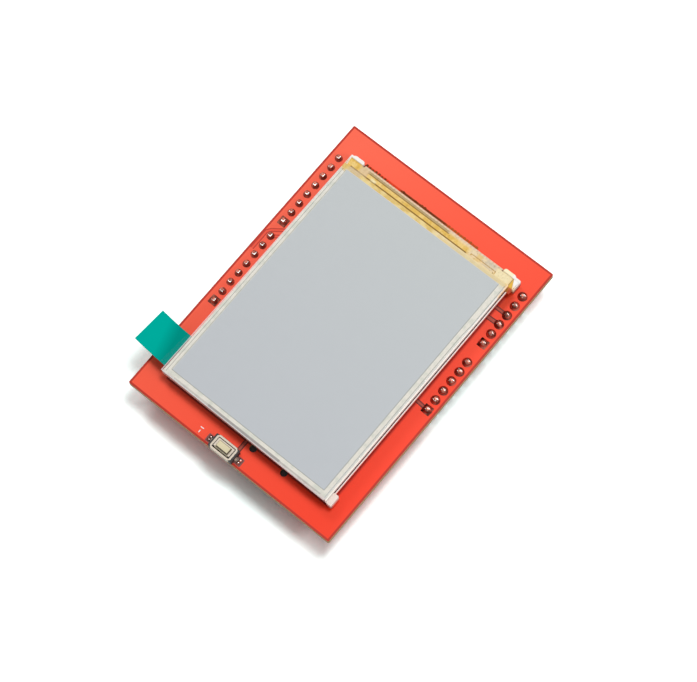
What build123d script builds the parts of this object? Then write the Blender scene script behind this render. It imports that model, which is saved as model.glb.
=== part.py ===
from build123d import *
import math
import os

# A 2.4 inch colour display module with a touch panel. It stands on its header pins.
# Origin: the middle of the header pin field, at the level of the pin tips.
# +X points to the six-way header rows, +Y to the display's flex, +Z out of the screen.
# All sizes are in millimetres.

# Circuit board
BOARD_SIDE_MARGIN = 2.07
BOARD_LENGTH = 71.3
BOARD_THICKNESS = 1.6
BOARD_CENTRE_X = -0.15
BOARD_CENTRE_Y = -8.2
BOARD_CORNER_RADIUS = 0.3

# Header pins, in two rows that start level with each other
PITCH = 2.54
ROW_SPACING = 48.26
FIRST_PIN_Y = 19.812
LEFT_GROUP_PINS = 8
LEFT_GROUP_GAP = 4.064
RIGHT_GROUP_PINS = 6
RIGHT_GROUP_GAP = 5.08
PIN_WIDTH = 0.64
PIN_REACH = 6.0
PIN_TAIL = 1.0
PIN_CHAMFER = 0.15
STRIP_WIDTH = 2.5
STRIP_HEIGHT = 2.54
STRIP_CHAMFER = 0.4
PIN_HOLE_DIAMETER = 1.0
PAD_WIDTH = 1.9
PAD_WETTING = 0.08
SOLDER_RISE = 0.75
SOLDER_CROWN_RADIUS = 0.52
SOLDER_WAIST_RADIUS = 0.64
SOLDER_WAIST_RISE = 0.28
SOLDER_SIDES = 8

# Reset switch, lengths along X and widths along Y
SWITCH_X = -2.0
SWITCH_FROM_FOOT = 1.4
SWITCH_BASE_LENGTH = 6.0
SWITCH_BASE_WIDTH = 3.06
SWITCH_BASE_HEIGHT = 1.75
SWITCH_WELL_LENGTH = 3.9
SWITCH_WELL_WIDTH = 2.4
SWITCH_WELL_FLOOR = 0.5
SWITCH_BASE_CORNER_RADIUS = 0.2
COVER_SHEET = 0.15
COVER_LENGTH = 5.3
COVER_SKIRT = 1.0
COVER_BEVEL = 0.35
COVER_SLOT_LENGTH = 4.0
COVER_SLOT_WIDTH = 0.3
COVER_SLOT_OFFSET = 1.2
BUTTON_LENGTH = 2.9
BUTTON_WIDTH = 1.36
BUTTON_TOP = 2.5
BUTTON_CHAMFER = 0.08
BUTTON_FLANGE = 0.35
BUTTON_FLANGE_EXTRA = 0.3
BUTTON_NUB_RADIUS = 0.45
BUTTON_TRAVEL = 0.25
BUTTON_PLAY = 0.08
DOME_RADIUS = 1.1
DOME_PRESSED_RISE = 0.2
DOME_SHEET = 0.08
DOME_SHOULDER_RADIUS = 0.6
DOME_SHOULDER_DROP = 0.1
TERMINAL_WIDTH = 0.8
TERMINAL_REACH = 1.2
TERMINAL_SHEET = 0.15
TERMINAL_SOLDER_MARGIN = 0.35
TERMINAL_SOLDER_HEIGHT = 0.22
TERMINAL_SOLDER_GAP = 0.3
TERMINAL_SOLDER_SLOPE = 30.0

# Display module: outline and moulded frame
DISPLAY_SIDE_GAP = 2.77
DISPLAY_FOOT_MARGIN = 5.3
DISPLAY_HEAD_MARGIN = 5.74
TAPE_THICKNESS = 0.9
TAPE_STRIP_WIDTH = 5.0
TAPE_STRIP_INSET = 4.0
TAPE_STRIP_HEAD_INSET = 10.26
FRAME_WALL = 0.7
FRAME_STEP = 0.9
FRAME_HEIGHT = 1.7
FRAME_CORNER_RADIUS = 0.8
POST_HEIGHT = 2.1
POST_WALL = 0.85
POST_CORNER_RADIUS = 0.5
LEFT_POST_WIDTH = 2.96
RIGHT_POST_WIDTH = 3.16
FLEX_NOTCH_DEPTH = 1.2
RIGHT_EAR_REACH = 1.1
LEFT_EAR_REACH = 0.4
EAR_WALL = 0.35
EAR_LENGTH = 2.65
EAR_CORNER_RADIUS = 0.25
HEAD_EAR_INSET = 0.3

# Backlight and glass, from the back to the front
FIT = 0.1
REFLECTOR_THICKNESS = 0.1
GUIDE_THICKNESS = 0.5
GUIDE_HEAD_GAP = 3.2
DIFFUSER_THICKNESS = 0.1
PRISM_THICKNESS = 0.08
RIM_TAPE_THICKNESS = 0.05
RIM_TAPE_WIDTH = 2.0
POLARISER_THICKNESS = 0.13
POLARISER_MARGIN = 1.28
GLASS_THICKNESS = 0.4
LEDGE_LENGTH = 3.9
LED_COUNT = 4
LED_LENGTH = 3.2
LED_DEPTH = 1.0
LED_HEIGHT = 0.45
LED_SEAT_DEPTH = 0.3
LED_WINDOW_LENGTH = 2.5
LED_WINDOW_HEIGHT = 0.3
LED_SPACING = 8.6
LED_FLEX_THICKNESS = 0.1
LED_FLEX_WIDTH = 1.6
LED_FLEX_MARGIN = 1.0
SHEET_NOTCH = 1.0
CHIP_LENGTH = 17.6
CHIP_WIDTH = 0.8
CHIP_HEIGHT = 0.28
CHIP_INSET = 0.7

# Flex of the display and the tape over its ledge
FLEX_THICKNESS = 0.12
FLEX_SIDE_GAP = 0.3
FLEX_BOND = 2.2
FLEX_TAIL = 4.4
FLEX_JOINT_COUNT = 37
FLEX_JOINT_PITCH = 0.8
FLEX_JOINT_CENTRE_X = -4.1
FLEX_JOINT_WIDTH = 0.44
FLEX_JOINT_LENGTH = 2.6
FLEX_JOINT_HEIGHT = 0.1
FLEX_JOINT_TOE = 1.25
LEDGE_TAPE_THICKNESS = 0.06
LEDGE_TAPE_WIDTH = 3.0

# Touch panel and protective film
TOUCH_SIDE_INSET = 0.06
TOUCH_FOOT_INSET = 0.05
TOUCH_HEAD_INSET = 3.01
TOUCH_TAPE_THICKNESS = 0.13
TOUCH_BORDER = 1.45
TOUCH_HEAD_BORDER = 1.0
TOUCH_GLASS_THICKNESS = 1.1
TOUCH_SPACER_THICKNESS = 0.06
TOUCH_FILM_THICKNESS = 0.18
TOUCH_TAIL_WIDTH = 6.0
TOUCH_TAIL_X = 14.0
TOUCH_TAIL_BOND = 0.9
TOUCH_TAIL_REACH = 0.4
TOUCH_TAIL_FOOT = 0.7
TOUCH_TAIL_BEND = 0.25
FILM_TRIM = 0.05
FILM_THICKNESS = 0.06
FILM_SHIFT_X = -0.25
FILM_SHIFT_Y = -0.1
FILM_TURN = -0.35
TAB_LENGTH = 7.7
TAB_WIDTH = 8.0
TAB_THICKNESS = 0.1
TAB_SAG = 0.45
TAB_LAP = 0.7
TAB_FROM_FOOT = 5.1
TAB_TURN = -4.0
TAB_EAR_REACH = 1.1

# Memory card socket under the board, its mouth at the foot edge
SOCKET_WIDTH = 14.2
SOCKET_LENGTH = 14.8
SOCKET_HEIGHT = 1.85
SOCKET_X = 6.24
SOCKET_MOUTH_INSET = 0.25
SOCKET_SHEET = 0.2
SOCKET_FLOOR = 0.45
SOCKET_BACK = 1.6
CARD_WIDTH = 11.2
SOCKET_FOOT_LENGTH = 1.4
SOCKET_FOOT_REACH = 0.7
PEG_SPACING = 8.0
PEG_FROM_MOUTH = 5.0
PEG_DIAMETER = 1.4
PEG_HOLE_DIAMETER = 1.6
PEG_DEPTH = 1.2
THUMB_NOTCH_RADIUS = 3.6
THUMB_NOTCH_DEPTH = 1.8
CONTACT_WELL_MARGIN = 0.6
CONTACT_COUNT = 8
CONTACT_PITCH = 1.1
CONTACT_WIDTH = 0.6
CONTACT_FROM_PEG = 1.7
CONTACT_SHEET = 0.12
CONTACT_RISE = 0.7
CONTACT_TAIL = 0.8
CONTACT_TIP_LENGTH = 0.9
CONTACT_TIP_DROP = 0.2

# Chips under the board
REGULATOR_X = -12.5
REGULATOR_Y = -25.0
REGULATOR_LENGTH = 6.5
REGULATOR_WIDTH = 3.5
REGULATOR_HEIGHT = 1.6
REGULATOR_LEAD_PITCH = 2.3
REGULATOR_LEAD_WIDTH = 0.7
REGULATOR_TAB_WIDTH = 3.0
REGULATOR_SPAN = 7.0
BUFFER_X = 9.5
BUFFER_Y = -4.0
BUFFER_LENGTH = 12.8
BUFFER_WIDTH = 7.5
BUFFER_HEIGHT = 2.3
BUFFER_LEADS_A_SIDE = 10
BUFFER_LEAD_PITCH = 1.27
BUFFER_LEAD_WIDTH = 0.41
BUFFER_SPAN = 10.3
LEAD_SHEET = 0.2
LEAD_KNEE = 0.35
LEAD_HEEL = 0.5
CHIP_MARK_RADIUS = 0.5
CHIP_MARK_DEPTH = 0.1
CHIP_MARK_INSET = 1.4
CHIP_STANDOFF = 0.1
CHIP_DRAFT = 7.0
CAP_LENGTH = 1.9
CAP_WIDTH = 1.2
CAP_HEIGHT = 1.0
RESISTOR_LENGTH = 1.5
RESISTOR_WIDTH = 0.8
RESISTOR_HEIGHT = 0.4
END_CAP = 0.3
RESISTOR_COUNT = 6
RESISTOR_PITCH = 2.0

# Levels and edges that follow from the sizes above
DOME_RISE = DOME_PRESSED_RISE + BUTTON_TRAVEL
BOARD_UNDERSIDE = PIN_REACH + STRIP_HEIGHT
BOARD_TOP = BOARD_UNDERSIDE + BOARD_THICKNESS
BOARD_WIDTH = ROW_SPACING + 2 * BOARD_SIDE_MARGIN
BOARD_FOOT_Y = BOARD_CENTRE_Y - BOARD_LENGTH / 2
SWITCH_Y = BOARD_FOOT_Y + SWITCH_FROM_FOOT
DISPLAY_WIDTH = ROW_SPACING - 2 * DISPLAY_SIDE_GAP
DISPLAY_BACK = BOARD_TOP + TAPE_THICKNESS
DISPLAY_FOOT_Y = BOARD_FOOT_Y + DISPLAY_FOOT_MARGIN
DISPLAY_HEAD_Y = BOARD_FOOT_Y + BOARD_LENGTH - DISPLAY_HEAD_MARGIN
DISPLAY_RIGHT_X = DISPLAY_WIDTH / 2
NOTCH_Y = DISPLAY_HEAD_Y - FLEX_NOTCH_DEPTH
NOTCH_LEFT_X = -DISPLAY_RIGHT_X + LEFT_POST_WIDTH
NOTCH_RIGHT_X = DISPLAY_RIGHT_X - RIGHT_POST_WIDTH

GUIDE_BACK = DISPLAY_BACK + REFLECTOR_THICKNESS
DIFFUSER_BACK = GUIDE_BACK + GUIDE_THICKNESS
LOWER_PRISM_BACK = DIFFUSER_BACK + DIFFUSER_THICKNESS
UPPER_PRISM_BACK = LOWER_PRISM_BACK + PRISM_THICKNESS
STEP_LEVEL = UPPER_PRISM_BACK + PRISM_THICKNESS
REAR_POLARISER_BACK = STEP_LEVEL + RIM_TAPE_THICKNESS
TFT_BACK = REAR_POLARISER_BACK + POLARISER_THICKNESS
LEDGE_LEVEL = TFT_BACK + GLASS_THICKNESS
FILTER_TOP = LEDGE_LEVEL + GLASS_THICKNESS
FRONT_POLARISER_TOP = FILTER_TOP + POLARISER_THICKNESS
TOUCH_BACK = FRONT_POLARISER_TOP + TOUCH_TAPE_THICKNESS
SPACER_BACK = TOUCH_BACK + TOUCH_GLASS_THICKNESS
TOUCH_FILM_BACK = SPACER_BACK + TOUCH_SPACER_THICKNESS
FILM_BACK = TOUCH_FILM_BACK + TOUCH_FILM_THICKNESS

# The glass fills the frame above the step, and the sheets fill it below the step
POCKET_WIDTH = DISPLAY_WIDTH - 2 * FRAME_WALL
POCKET_FOOT_Y = DISPLAY_FOOT_Y + FRAME_WALL
POCKET_HEAD_Y = NOTCH_Y - FRAME_WALL
WELL_WIDTH = POCKET_WIDTH - 2 * FRAME_STEP
WELL_FOOT_Y = POCKET_FOOT_Y + FRAME_STEP
SHEET_WIDTH = WELL_WIDTH - 2 * FIT
SHEET_FOOT_Y = WELL_FOOT_Y + FIT
GUIDE_HEAD_Y = POCKET_HEAD_Y - GUIDE_HEAD_GAP
GLASS_WIDTH = POCKET_WIDTH - 2 * FIT
GLASS_FOOT_Y = POCKET_FOOT_Y + FIT
GLASS_HEAD_Y = POCKET_HEAD_Y - FIT
FILTER_HEAD_Y = GLASS_HEAD_Y - LEDGE_LENGTH

TOUCH_WIDTH = DISPLAY_WIDTH - 2 * TOUCH_SIDE_INSET
TOUCH_FOOT_Y = DISPLAY_FOOT_Y + TOUCH_FOOT_INSET
TOUCH_HEAD_Y = DISPLAY_HEAD_Y - TOUCH_HEAD_INSET
FILM_EDGE_X = -TOUCH_WIDTH / 2 + FILM_SHIFT_X
TAB_Y = TOUCH_FOOT_Y + TAB_FROM_FOOT
SOCKET_MOUTH_Y = BOARD_FOOT_Y + SOCKET_MOUTH_INSET
PEG_Y = SOCKET_MOUTH_Y + PEG_FROM_MOUTH
CONTACT_LENGTH = SOCKET_LENGTH - SOCKET_BACK - PEG_FROM_MOUTH - CONTACT_FROM_PEG
LEDGE_TAPE_LEFT = -DISPLAY_RIGHT_X - LEFT_EAR_REACH + EAR_WALL
LEDGE_TAPE_RIGHT = DISPLAY_RIGHT_X + RIGHT_EAR_REACH - EAR_WALL
LEDGE_TAPE_HEAD_Y = DISPLAY_HEAD_Y - POST_WALL - FIT
UPWARD = (Align.CENTER, Align.CENTER, Align.MIN)


def slab(left, right, foot, head, bottom, thickness, radius=0.0):
    """A flat piece between four edges in plan, with rounded corners where a radius is given."""
    width = right - left
    length = head - foot
    outline = RectangleRounded(width, length, radius) if radius else Rectangle(width, length)
    return Pos((left + right) / 2, (foot + head) / 2, bottom) * extrude(outline, thickness)


def middle_slab(width, foot, head, bottom, thickness, radius=0.0):
    """A flat piece that is centred on the display's middle line."""
    return slab(-width / 2, width / 2, foot, head, bottom, thickness, radius)


def bent_strip(points, sheet, width):
    """A strip of sheet with sharp folds along a path in the XZ plane, with its width along Y."""
    profile = Plane.XZ * trace(Polyline(*points), sheet)
    return extrude(profile, width / 2, both=True)


def group(solids):
    """Separate solids of one node."""
    return Compound(children=list(solids))


def pin_places(side, part):
    """Pin centres of one header group: side -1 is left, part 0 is the group nearer the flex."""
    count = LEFT_GROUP_PINS if side < 0 else RIGHT_GROUP_PINS
    gap = LEFT_GROUP_GAP if side < 0 else RIGHT_GROUP_GAP
    first = FIRST_PIN_Y - part * ((count - 1) * PITCH + gap)
    return [(side * ROW_SPACING / 2, first - i * PITCH) for i in range(count)]


HEADERS = {
    "left_header_head": pin_places(-1, 0),
    "left_header_foot": pin_places(-1, 1),
    "right_header_head": pin_places(1, 0),
    "right_header_foot": pin_places(1, 1),
}


# Circuit board and headers
def circuit_board():
    board = slab(
        BOARD_CENTRE_X - BOARD_WIDTH / 2,
        BOARD_CENTRE_X + BOARD_WIDTH / 2,
        BOARD_FOOT_Y,
        BOARD_FOOT_Y + BOARD_LENGTH,
        BOARD_UNDERSIDE,
        BOARD_THICKNESS,
        BOARD_CORNER_RADIUS,
    )
    pin_hole = Cylinder(PIN_HOLE_DIAMETER / 2, BOARD_THICKNESS, align=UPWARD)
    peg_hole = Cylinder(PEG_HOLE_DIAMETER / 2, BOARD_THICKNESS, align=UPWARD)
    holes = [Pos(x, y, BOARD_UNDERSIDE) * pin_hole for places in HEADERS.values() for x, y in places]
    holes += [Pos(x, PEG_Y, BOARD_UNDERSIDE) * peg_hole for x in peg_centres()]
    return board - holes


def header_strip(places):
    """A moulded strip: one chamfered block for each pin, joined in a row."""
    block = Rectangle(STRIP_WIDTH, PITCH)
    block = chamfer(block.vertices(), STRIP_CHAMFER)
    row = Sketch() + [Pos(x, y) * block for x, y in places]
    row -= [Pos(x, y) * Rectangle(PIN_WIDTH, PIN_WIDTH) for x, y in places]
    return Pos(0, 0, PIN_REACH) * extrude(row, STRIP_HEIGHT)


def header_pins(places):
    length = BOARD_TOP + PIN_TAIL
    pin = Box(PIN_WIDTH, PIN_WIDTH, length, align=UPWARD)
    pin = chamfer(pin.faces().sort_by(Axis.Z)[0].edges(), PIN_CHAMFER)
    return group(Pos(x, y, 0) * pin for x, y in places)


def solder_cone(lower, upper, rise):
    """A many-sided cone between two radii."""
    slope = math.degrees(math.atan((lower - upper) / rise))
    return extrude(RegularPolygon(lower, SOLDER_SIDES, major_radius=False), rise, taper=slope)


def solder_joint(square):
    """Solder that climbs the pin from a round or a square pad over its hole."""
    pad = RegularPolygon(PAD_WIDTH / 2, SOLDER_SIDES, major_radius=False)
    if square:
        pad = Rectangle(PAD_WIDTH, PAD_WIDTH)
    joint = extrude(pad, PAD_WETTING)
    waist = PAD_WETTING + SOLDER_WAIST_RISE
    joint += Pos(0, 0, PAD_WETTING) * solder_cone(PAD_WIDTH / 2, SOLDER_WAIST_RADIUS, SOLDER_WAIST_RISE)
    joint += Pos(0, 0, waist) * solder_cone(SOLDER_WAIST_RADIUS, SOLDER_CROWN_RADIUS, SOLDER_RISE - waist)
    return joint - Box(PIN_WIDTH, PIN_WIDTH, 4 * SOLDER_RISE)


def header_solder(places):
    """One joint for each pin, with the square pad at the foot end of the group."""
    round_joint = solder_joint(False)
    square_joint = solder_joint(True)
    last = places[-1]
    joints = [Pos(x, y, BOARD_TOP) * round_joint for x, y in places[:-1]]
    joints.append(Pos(last[0], last[1], BOARD_TOP) * square_joint)
    return group(joints)


# Reset switch
def at_switch(piece):
    return Pos(SWITCH_X, SWITCH_Y, BOARD_TOP) * piece


def switch_base():
    """Moulded base with a well for the dome and the button's flange, and a notch at each end."""
    base = slab(
        -SWITCH_BASE_LENGTH / 2,
        SWITCH_BASE_LENGTH / 2,
        -SWITCH_BASE_WIDTH / 2,
        SWITCH_BASE_WIDTH / 2,
        0,
        SWITCH_BASE_HEIGHT,
        SWITCH_BASE_CORNER_RADIUS,
    )
    base -= Pos(0, 0, SWITCH_WELL_FLOOR) * Box(
        SWITCH_WELL_LENGTH, SWITCH_WELL_WIDTH, SWITCH_BASE_HEIGHT, align=UPWARD
    )
    notch = Box(2 * TERMINAL_SHEET, TERMINAL_WIDTH, SWITCH_BASE_HEIGHT)
    for end in (-1, 1):
        base -= Pos(end * SWITCH_BASE_LENGTH / 2, 0, 0) * notch
    return at_switch(base)


def switch_dome():
    """Thin metal snap dome on the floor of the well, shallow at its crown."""
    rim = SWITCH_WELL_FLOOR
    crown = rim + DOME_RISE
    shoulder = crown - DOME_SHOULDER_DROP
    section = Polyline(
        (DOME_RADIUS, rim),
        (DOME_SHOULDER_RADIUS, shoulder),
        (0, crown),
        (0, crown - DOME_SHEET),
        (DOME_SHOULDER_RADIUS - DOME_SHEET / 2, shoulder - DOME_SHEET),
        (DOME_RADIUS - DOME_SHEET, rim),
        close=True,
    )
    return at_switch(revolve(Plane.XZ * make_face(section), Axis.Z))


def switch_button():
    """Button with a flange that the cover holds down, and a nub that rests on the dome."""
    flange_top = SWITCH_BASE_HEIGHT - BUTTON_PLAY
    flange_bottom = flange_top - BUTTON_FLANGE
    nub_bottom = SWITCH_WELL_FLOOR + DOME_RISE
    stem = extrude(Rectangle(BUTTON_LENGTH, BUTTON_WIDTH), BUTTON_TOP - flange_bottom)
    stem = chamfer(stem.faces().sort_by(Axis.Z)[-1].edges(), BUTTON_CHAMFER)
    flange = Box(
        BUTTON_LENGTH + 2 * BUTTON_FLANGE_EXTRA,
        BUTTON_WIDTH + 2 * BUTTON_FLANGE_EXTRA,
        BUTTON_FLANGE,
        align=UPWARD,
    )
    nub = Cylinder(BUTTON_NUB_RADIUS, flange_bottom - nub_bottom, align=UPWARD)
    button = Pos(0, 0, flange_bottom) * (stem + flange) + Pos(0, 0, nub_bottom) * nub
    return at_switch(button)


def switch_cover():
    """Folded metal cover: a bevelled plate with a window, two slots and two long skirts."""
    width = SWITCH_BASE_WIDTH + 2 * COVER_SHEET
    outline = chamfer(Rectangle(COVER_LENGTH, width).vertices(), COVER_BEVEL)
    outline -= Rectangle(BUTTON_LENGTH + 2 * BUTTON_PLAY, BUTTON_WIDTH + 2 * BUTTON_PLAY)
    slot = Rectangle(COVER_SLOT_LENGTH, COVER_SLOT_WIDTH)
    outline -= [Pos(0, side * COVER_SLOT_OFFSET) * slot for side in (-1, 1)]
    plate = Pos(0, 0, SWITCH_BASE_HEIGHT) * extrude(outline, COVER_SHEET)
    skirt_length = COVER_LENGTH - 2 * COVER_BEVEL
    skirt = Box(skirt_length, COVER_SHEET, COVER_SKIRT, align=UPWARD)
    offset = (SWITCH_BASE_WIDTH + COVER_SHEET) / 2
    skirt_bottom = SWITCH_BASE_HEIGHT - COVER_SKIRT
    cover = plate + [Pos(0, side * offset, skirt_bottom) * skirt for side in (-1, 1)]
    top = cover.faces().sort_by(Axis.Z)[-1].outer_wire().edges()
    return at_switch(chamfer(top, COVER_SHEET / 2))


def terminal_points():
    """Path of one terminal, from inside the base's notch out to the end of its foot."""
    inner = SWITCH_BASE_LENGTH / 2 - TERMINAL_SHEET / 2
    mid = TERMINAL_SHEET / 2
    return [(inner, SWITCH_BASE_HEIGHT / 2), (inner, mid), (inner + TERMINAL_REACH, mid)]


def switch_terminals():
    one = bent_strip(terminal_points(), TERMINAL_SHEET, TERMINAL_WIDTH)
    return at_switch(group([one, Rot(0, 0, 180) * one]))


def switch_solder():
    """A low mound of solder round the foot of each terminal, open where the foot lies."""
    start = SWITCH_BASE_LENGTH / 2 + TERMINAL_SOLDER_GAP
    foot_end = SWITCH_BASE_LENGTH / 2 - TERMINAL_SHEET / 2 + TERMINAL_REACH
    length = foot_end - start + TERMINAL_SOLDER_MARGIN
    outline = Rectangle(length, TERMINAL_WIDTH + 2 * TERMINAL_SOLDER_MARGIN)
    mound = extrude(outline, TERMINAL_SOLDER_HEIGHT, taper=TERMINAL_SOLDER_SLOPE)
    mound = Pos(start + length / 2, 0, 0) * mound
    mound -= slab(0, foot_end, -TERMINAL_WIDTH / 2, TERMINAL_WIDTH / 2, 0, SWITCH_BASE_HEIGHT)
    return at_switch(group([mound, Rot(0, 0, 180) * mound]))


# Display
def mounting_tape():
    foot = DISPLAY_FOOT_Y + TAPE_STRIP_INSET
    head = DISPLAY_HEAD_Y - TAPE_STRIP_HEAD_INSET
    strips = []
    for side in (-1, 1):
        outer = side * (DISPLAY_WIDTH / 2 - TAPE_STRIP_INSET)
        inner = outer - side * TAPE_STRIP_WIDTH
        left, right = sorted((outer, inner))
        strips.append(slab(left, right, foot, head, BOARD_TOP, TAPE_THICKNESS))
    return group(strips)


def frame_outline():
    """Plan of the moulded frame: two head posts beside the flex notch, and ears at the corners."""
    length = DISPLAY_HEAD_Y - DISPLAY_FOOT_Y
    outline = RectangleRounded(DISPLAY_WIDTH, length, FRAME_CORNER_RADIUS)
    outline = Pos(0, DISPLAY_FOOT_Y + length / 2) * outline
    notch = Rectangle(NOTCH_RIGHT_X - NOTCH_LEFT_X, 2 * FLEX_NOTCH_DEPTH)
    outline -= Pos((NOTCH_LEFT_X + NOTCH_RIGHT_X) / 2, DISPLAY_HEAD_Y) * notch
    post_corners = [
        corner
        for corner in outline.vertices()
        if abs(corner.Y - DISPLAY_HEAD_Y) < FIT
        and min(abs(corner.X - NOTCH_LEFT_X), abs(corner.X - NOTCH_RIGHT_X)) < FIT
    ]
    return fillet(post_corners, POST_CORNER_RADIUS) + ear_outlines()


def ear_outlines():
    """Plan of the three ears: two on the right side and a short one at the left head corner."""
    head_y = DISPLAY_HEAD_Y - HEAD_EAR_INSET - EAR_LENGTH / 2
    foot_y = DISPLAY_FOOT_Y + EAR_LENGTH / 2
    right_ear = RectangleRounded(2 * RIGHT_EAR_REACH, EAR_LENGTH, EAR_CORNER_RADIUS)
    left_ear = RectangleRounded(2 * LEFT_EAR_REACH, EAR_LENGTH, EAR_CORNER_RADIUS)
    return Sketch() + [
        Pos(DISPLAY_RIGHT_X, head_y) * right_ear,
        Pos(DISPLAY_RIGHT_X, foot_y) * right_ear,
        Pos(-DISPLAY_RIGHT_X, head_y) * left_ear,
    ]


def backlight_frame():
    """Moulded frame: a well for the sheets, a step, a pocket for the glass, and corner posts."""
    outline = frame_outline()
    shelf_head = LEDGE_TAPE_HEAD_Y + FIT
    tape_shelf = slab(LEDGE_TAPE_LEFT, LEDGE_TAPE_RIGHT, 0, shelf_head, 0, 2 * POST_HEIGHT)
    panel_shelf = middle_slab(DISPLAY_WIDTH, 2 * DISPLAY_FOOT_Y, shelf_head, 0, 2 * POST_HEIGHT)
    raised = extrude(outline, POST_HEIGHT) - tape_shelf - panel_shelf
    frame = Pos(0, 0, DISPLAY_BACK) * (extrude(outline, FRAME_HEIGHT) + raised)
    pocket_depth = DISPLAY_BACK + POST_HEIGHT - STEP_LEVEL
    frame -= middle_slab(POCKET_WIDTH, POCKET_FOOT_Y, POCKET_HEAD_Y, STEP_LEVEL, pocket_depth)
    frame -= middle_slab(WELL_WIDTH, WELL_FOOT_Y, POCKET_HEAD_Y, DISPLAY_BACK, FRAME_HEIGHT)
    sill_foot = POCKET_HEAD_Y - FIT
    frame -= slab(NOTCH_LEFT_X, NOTCH_RIGHT_X, sill_foot, DISPLAY_HEAD_Y, LEDGE_LEVEL, FRAME_HEIGHT)
    return frame


def reflector_sheet():
    return middle_slab(SHEET_WIDTH, SHEET_FOOT_Y, GLASS_HEAD_Y, DISPLAY_BACK, REFLECTOR_THICKNESS)


def light_guide():
    """Clear plate with a shallow notch for each light source in its head edge."""
    guide = middle_slab(SHEET_WIDTH, SHEET_FOOT_Y, GUIDE_HEAD_Y, GUIDE_BACK, GUIDE_THICKNESS)
    notch = Box(LED_LENGTH + 2 * FIT, 2 * LED_SEAT_DEPTH, 4 * GUIDE_THICKNESS)
    return guide - [Pos(x, GUIDE_HEAD_Y, GUIDE_BACK) * notch for x in led_centres()]


def led_centres():
    first = -(LED_COUNT - 1) * LED_SPACING / 2
    return [first + i * LED_SPACING for i in range(LED_COUNT)]


def backlight_leds():
    foot = GUIDE_HEAD_Y - LED_SEAT_DEPTH + FIT
    led = Box(LED_LENGTH, LED_DEPTH, LED_HEIGHT, align=(Align.CENTER, Align.MIN, Align.MIN))
    window = Box(LED_WINDOW_LENGTH, LED_SEAT_DEPTH, LED_WINDOW_HEIGHT)
    led -= Pos(0, 0, LED_HEIGHT / 2) * window
    return group(Pos(x, foot, GUIDE_BACK) * led for x in led_centres())


def led_strip_flex():
    """Narrow flex that lies on the light sources and joins them."""
    foot = GUIDE_HEAD_Y + FIT
    width = (LED_COUNT - 1) * LED_SPACING + LED_LENGTH + 2 * LED_FLEX_MARGIN
    return middle_slab(width, foot, foot + LED_FLEX_WIDTH, GUIDE_BACK + LED_HEIGHT, LED_FLEX_THICKNESS)


def backlight_sheet(bottom, thickness):
    """One of the loose sheets on the light guide, with one foot corner cut away to show its side."""
    sheet = middle_slab(SHEET_WIDTH, SHEET_FOOT_Y, GUIDE_HEAD_Y - FIT, bottom, thickness)
    corner = Box(2 * SHEET_NOTCH, 2 * SHEET_NOTCH, 4 * thickness)
    return sheet - Pos(SHEET_WIDTH / 2, SHEET_FOOT_Y, bottom) * corner


def glass_rim_tape():
    outer = middle_slab(GLASS_WIDTH, GLASS_FOOT_Y, FILTER_HEAD_Y, STEP_LEVEL, RIM_TAPE_THICKNESS)
    window = middle_slab(
        GLASS_WIDTH - 2 * RIM_TAPE_WIDTH,
        GLASS_FOOT_Y + RIM_TAPE_WIDTH,
        FILTER_HEAD_Y - RIM_TAPE_WIDTH,
        STEP_LEVEL,
        RIM_TAPE_THICKNESS,
    )
    return outer - window


def polariser(bottom):
    width = GLASS_WIDTH - 2 * POLARISER_MARGIN
    foot = GLASS_FOOT_Y + POLARISER_MARGIN
    head = FILTER_HEAD_Y - POLARISER_MARGIN
    return middle_slab(width, foot, head, bottom, POLARISER_THICKNESS)


def tft_glass():
    return middle_slab(GLASS_WIDTH, GLASS_FOOT_Y, GLASS_HEAD_Y, TFT_BACK, GLASS_THICKNESS)


def colour_filter_glass():
    return middle_slab(GLASS_WIDTH, GLASS_FOOT_Y, FILTER_HEAD_Y, LEDGE_LEVEL, GLASS_THICKNESS)


def driver_chip():
    foot = FILTER_HEAD_Y + CHIP_INSET
    return middle_slab(CHIP_LENGTH, foot, foot + CHIP_WIDTH, LEDGE_LEVEL, CHIP_HEIGHT)


def display_flex():
    """Flex bonded to the glass ledge, folded round the frame and laid back under the display."""
    top = LEDGE_LEVEL + FLEX_THICKNESS / 2
    bottom = BOARD_TOP + FLEX_JOINT_HEIGHT + FLEX_THICKNESS / 2
    radius = (top - bottom) / 2
    bend_y = NOTCH_Y - FIT
    upper = Line((bend_y - FLEX_BOND, top), (bend_y, top))
    fold = ThreePointArc((bend_y, top), (bend_y + radius, bottom + radius), (bend_y, bottom))
    lower = Line((bend_y, bottom), (bend_y - FLEX_TAIL, bottom))
    profile = Plane.YZ * trace([upper, fold, lower], FLEX_THICKNESS)
    width = NOTCH_RIGHT_X - NOTCH_LEFT_X - 2 * FLEX_SIDE_GAP
    return Pos((NOTCH_LEFT_X + NOTCH_RIGHT_X) / 2, 0, 0) * extrude(profile, width / 2, both=True)


def flex_solder():
    """A row of soldered lands that run out from under the flex."""
    head = DISPLAY_HEAD_Y + FLEX_JOINT_TOE
    land = Box(FLEX_JOINT_WIDTH, FLEX_JOINT_LENGTH, FLEX_JOINT_HEIGHT, align=UPWARD)
    first = FLEX_JOINT_CENTRE_X - (FLEX_JOINT_COUNT - 1) * FLEX_JOINT_PITCH / 2
    y = head - FLEX_JOINT_LENGTH / 2
    xs = [first + i * FLEX_JOINT_PITCH for i in range(FLEX_JOINT_COUNT)]
    return group(Pos(x, y, BOARD_TOP) * land for x in xs)


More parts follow.
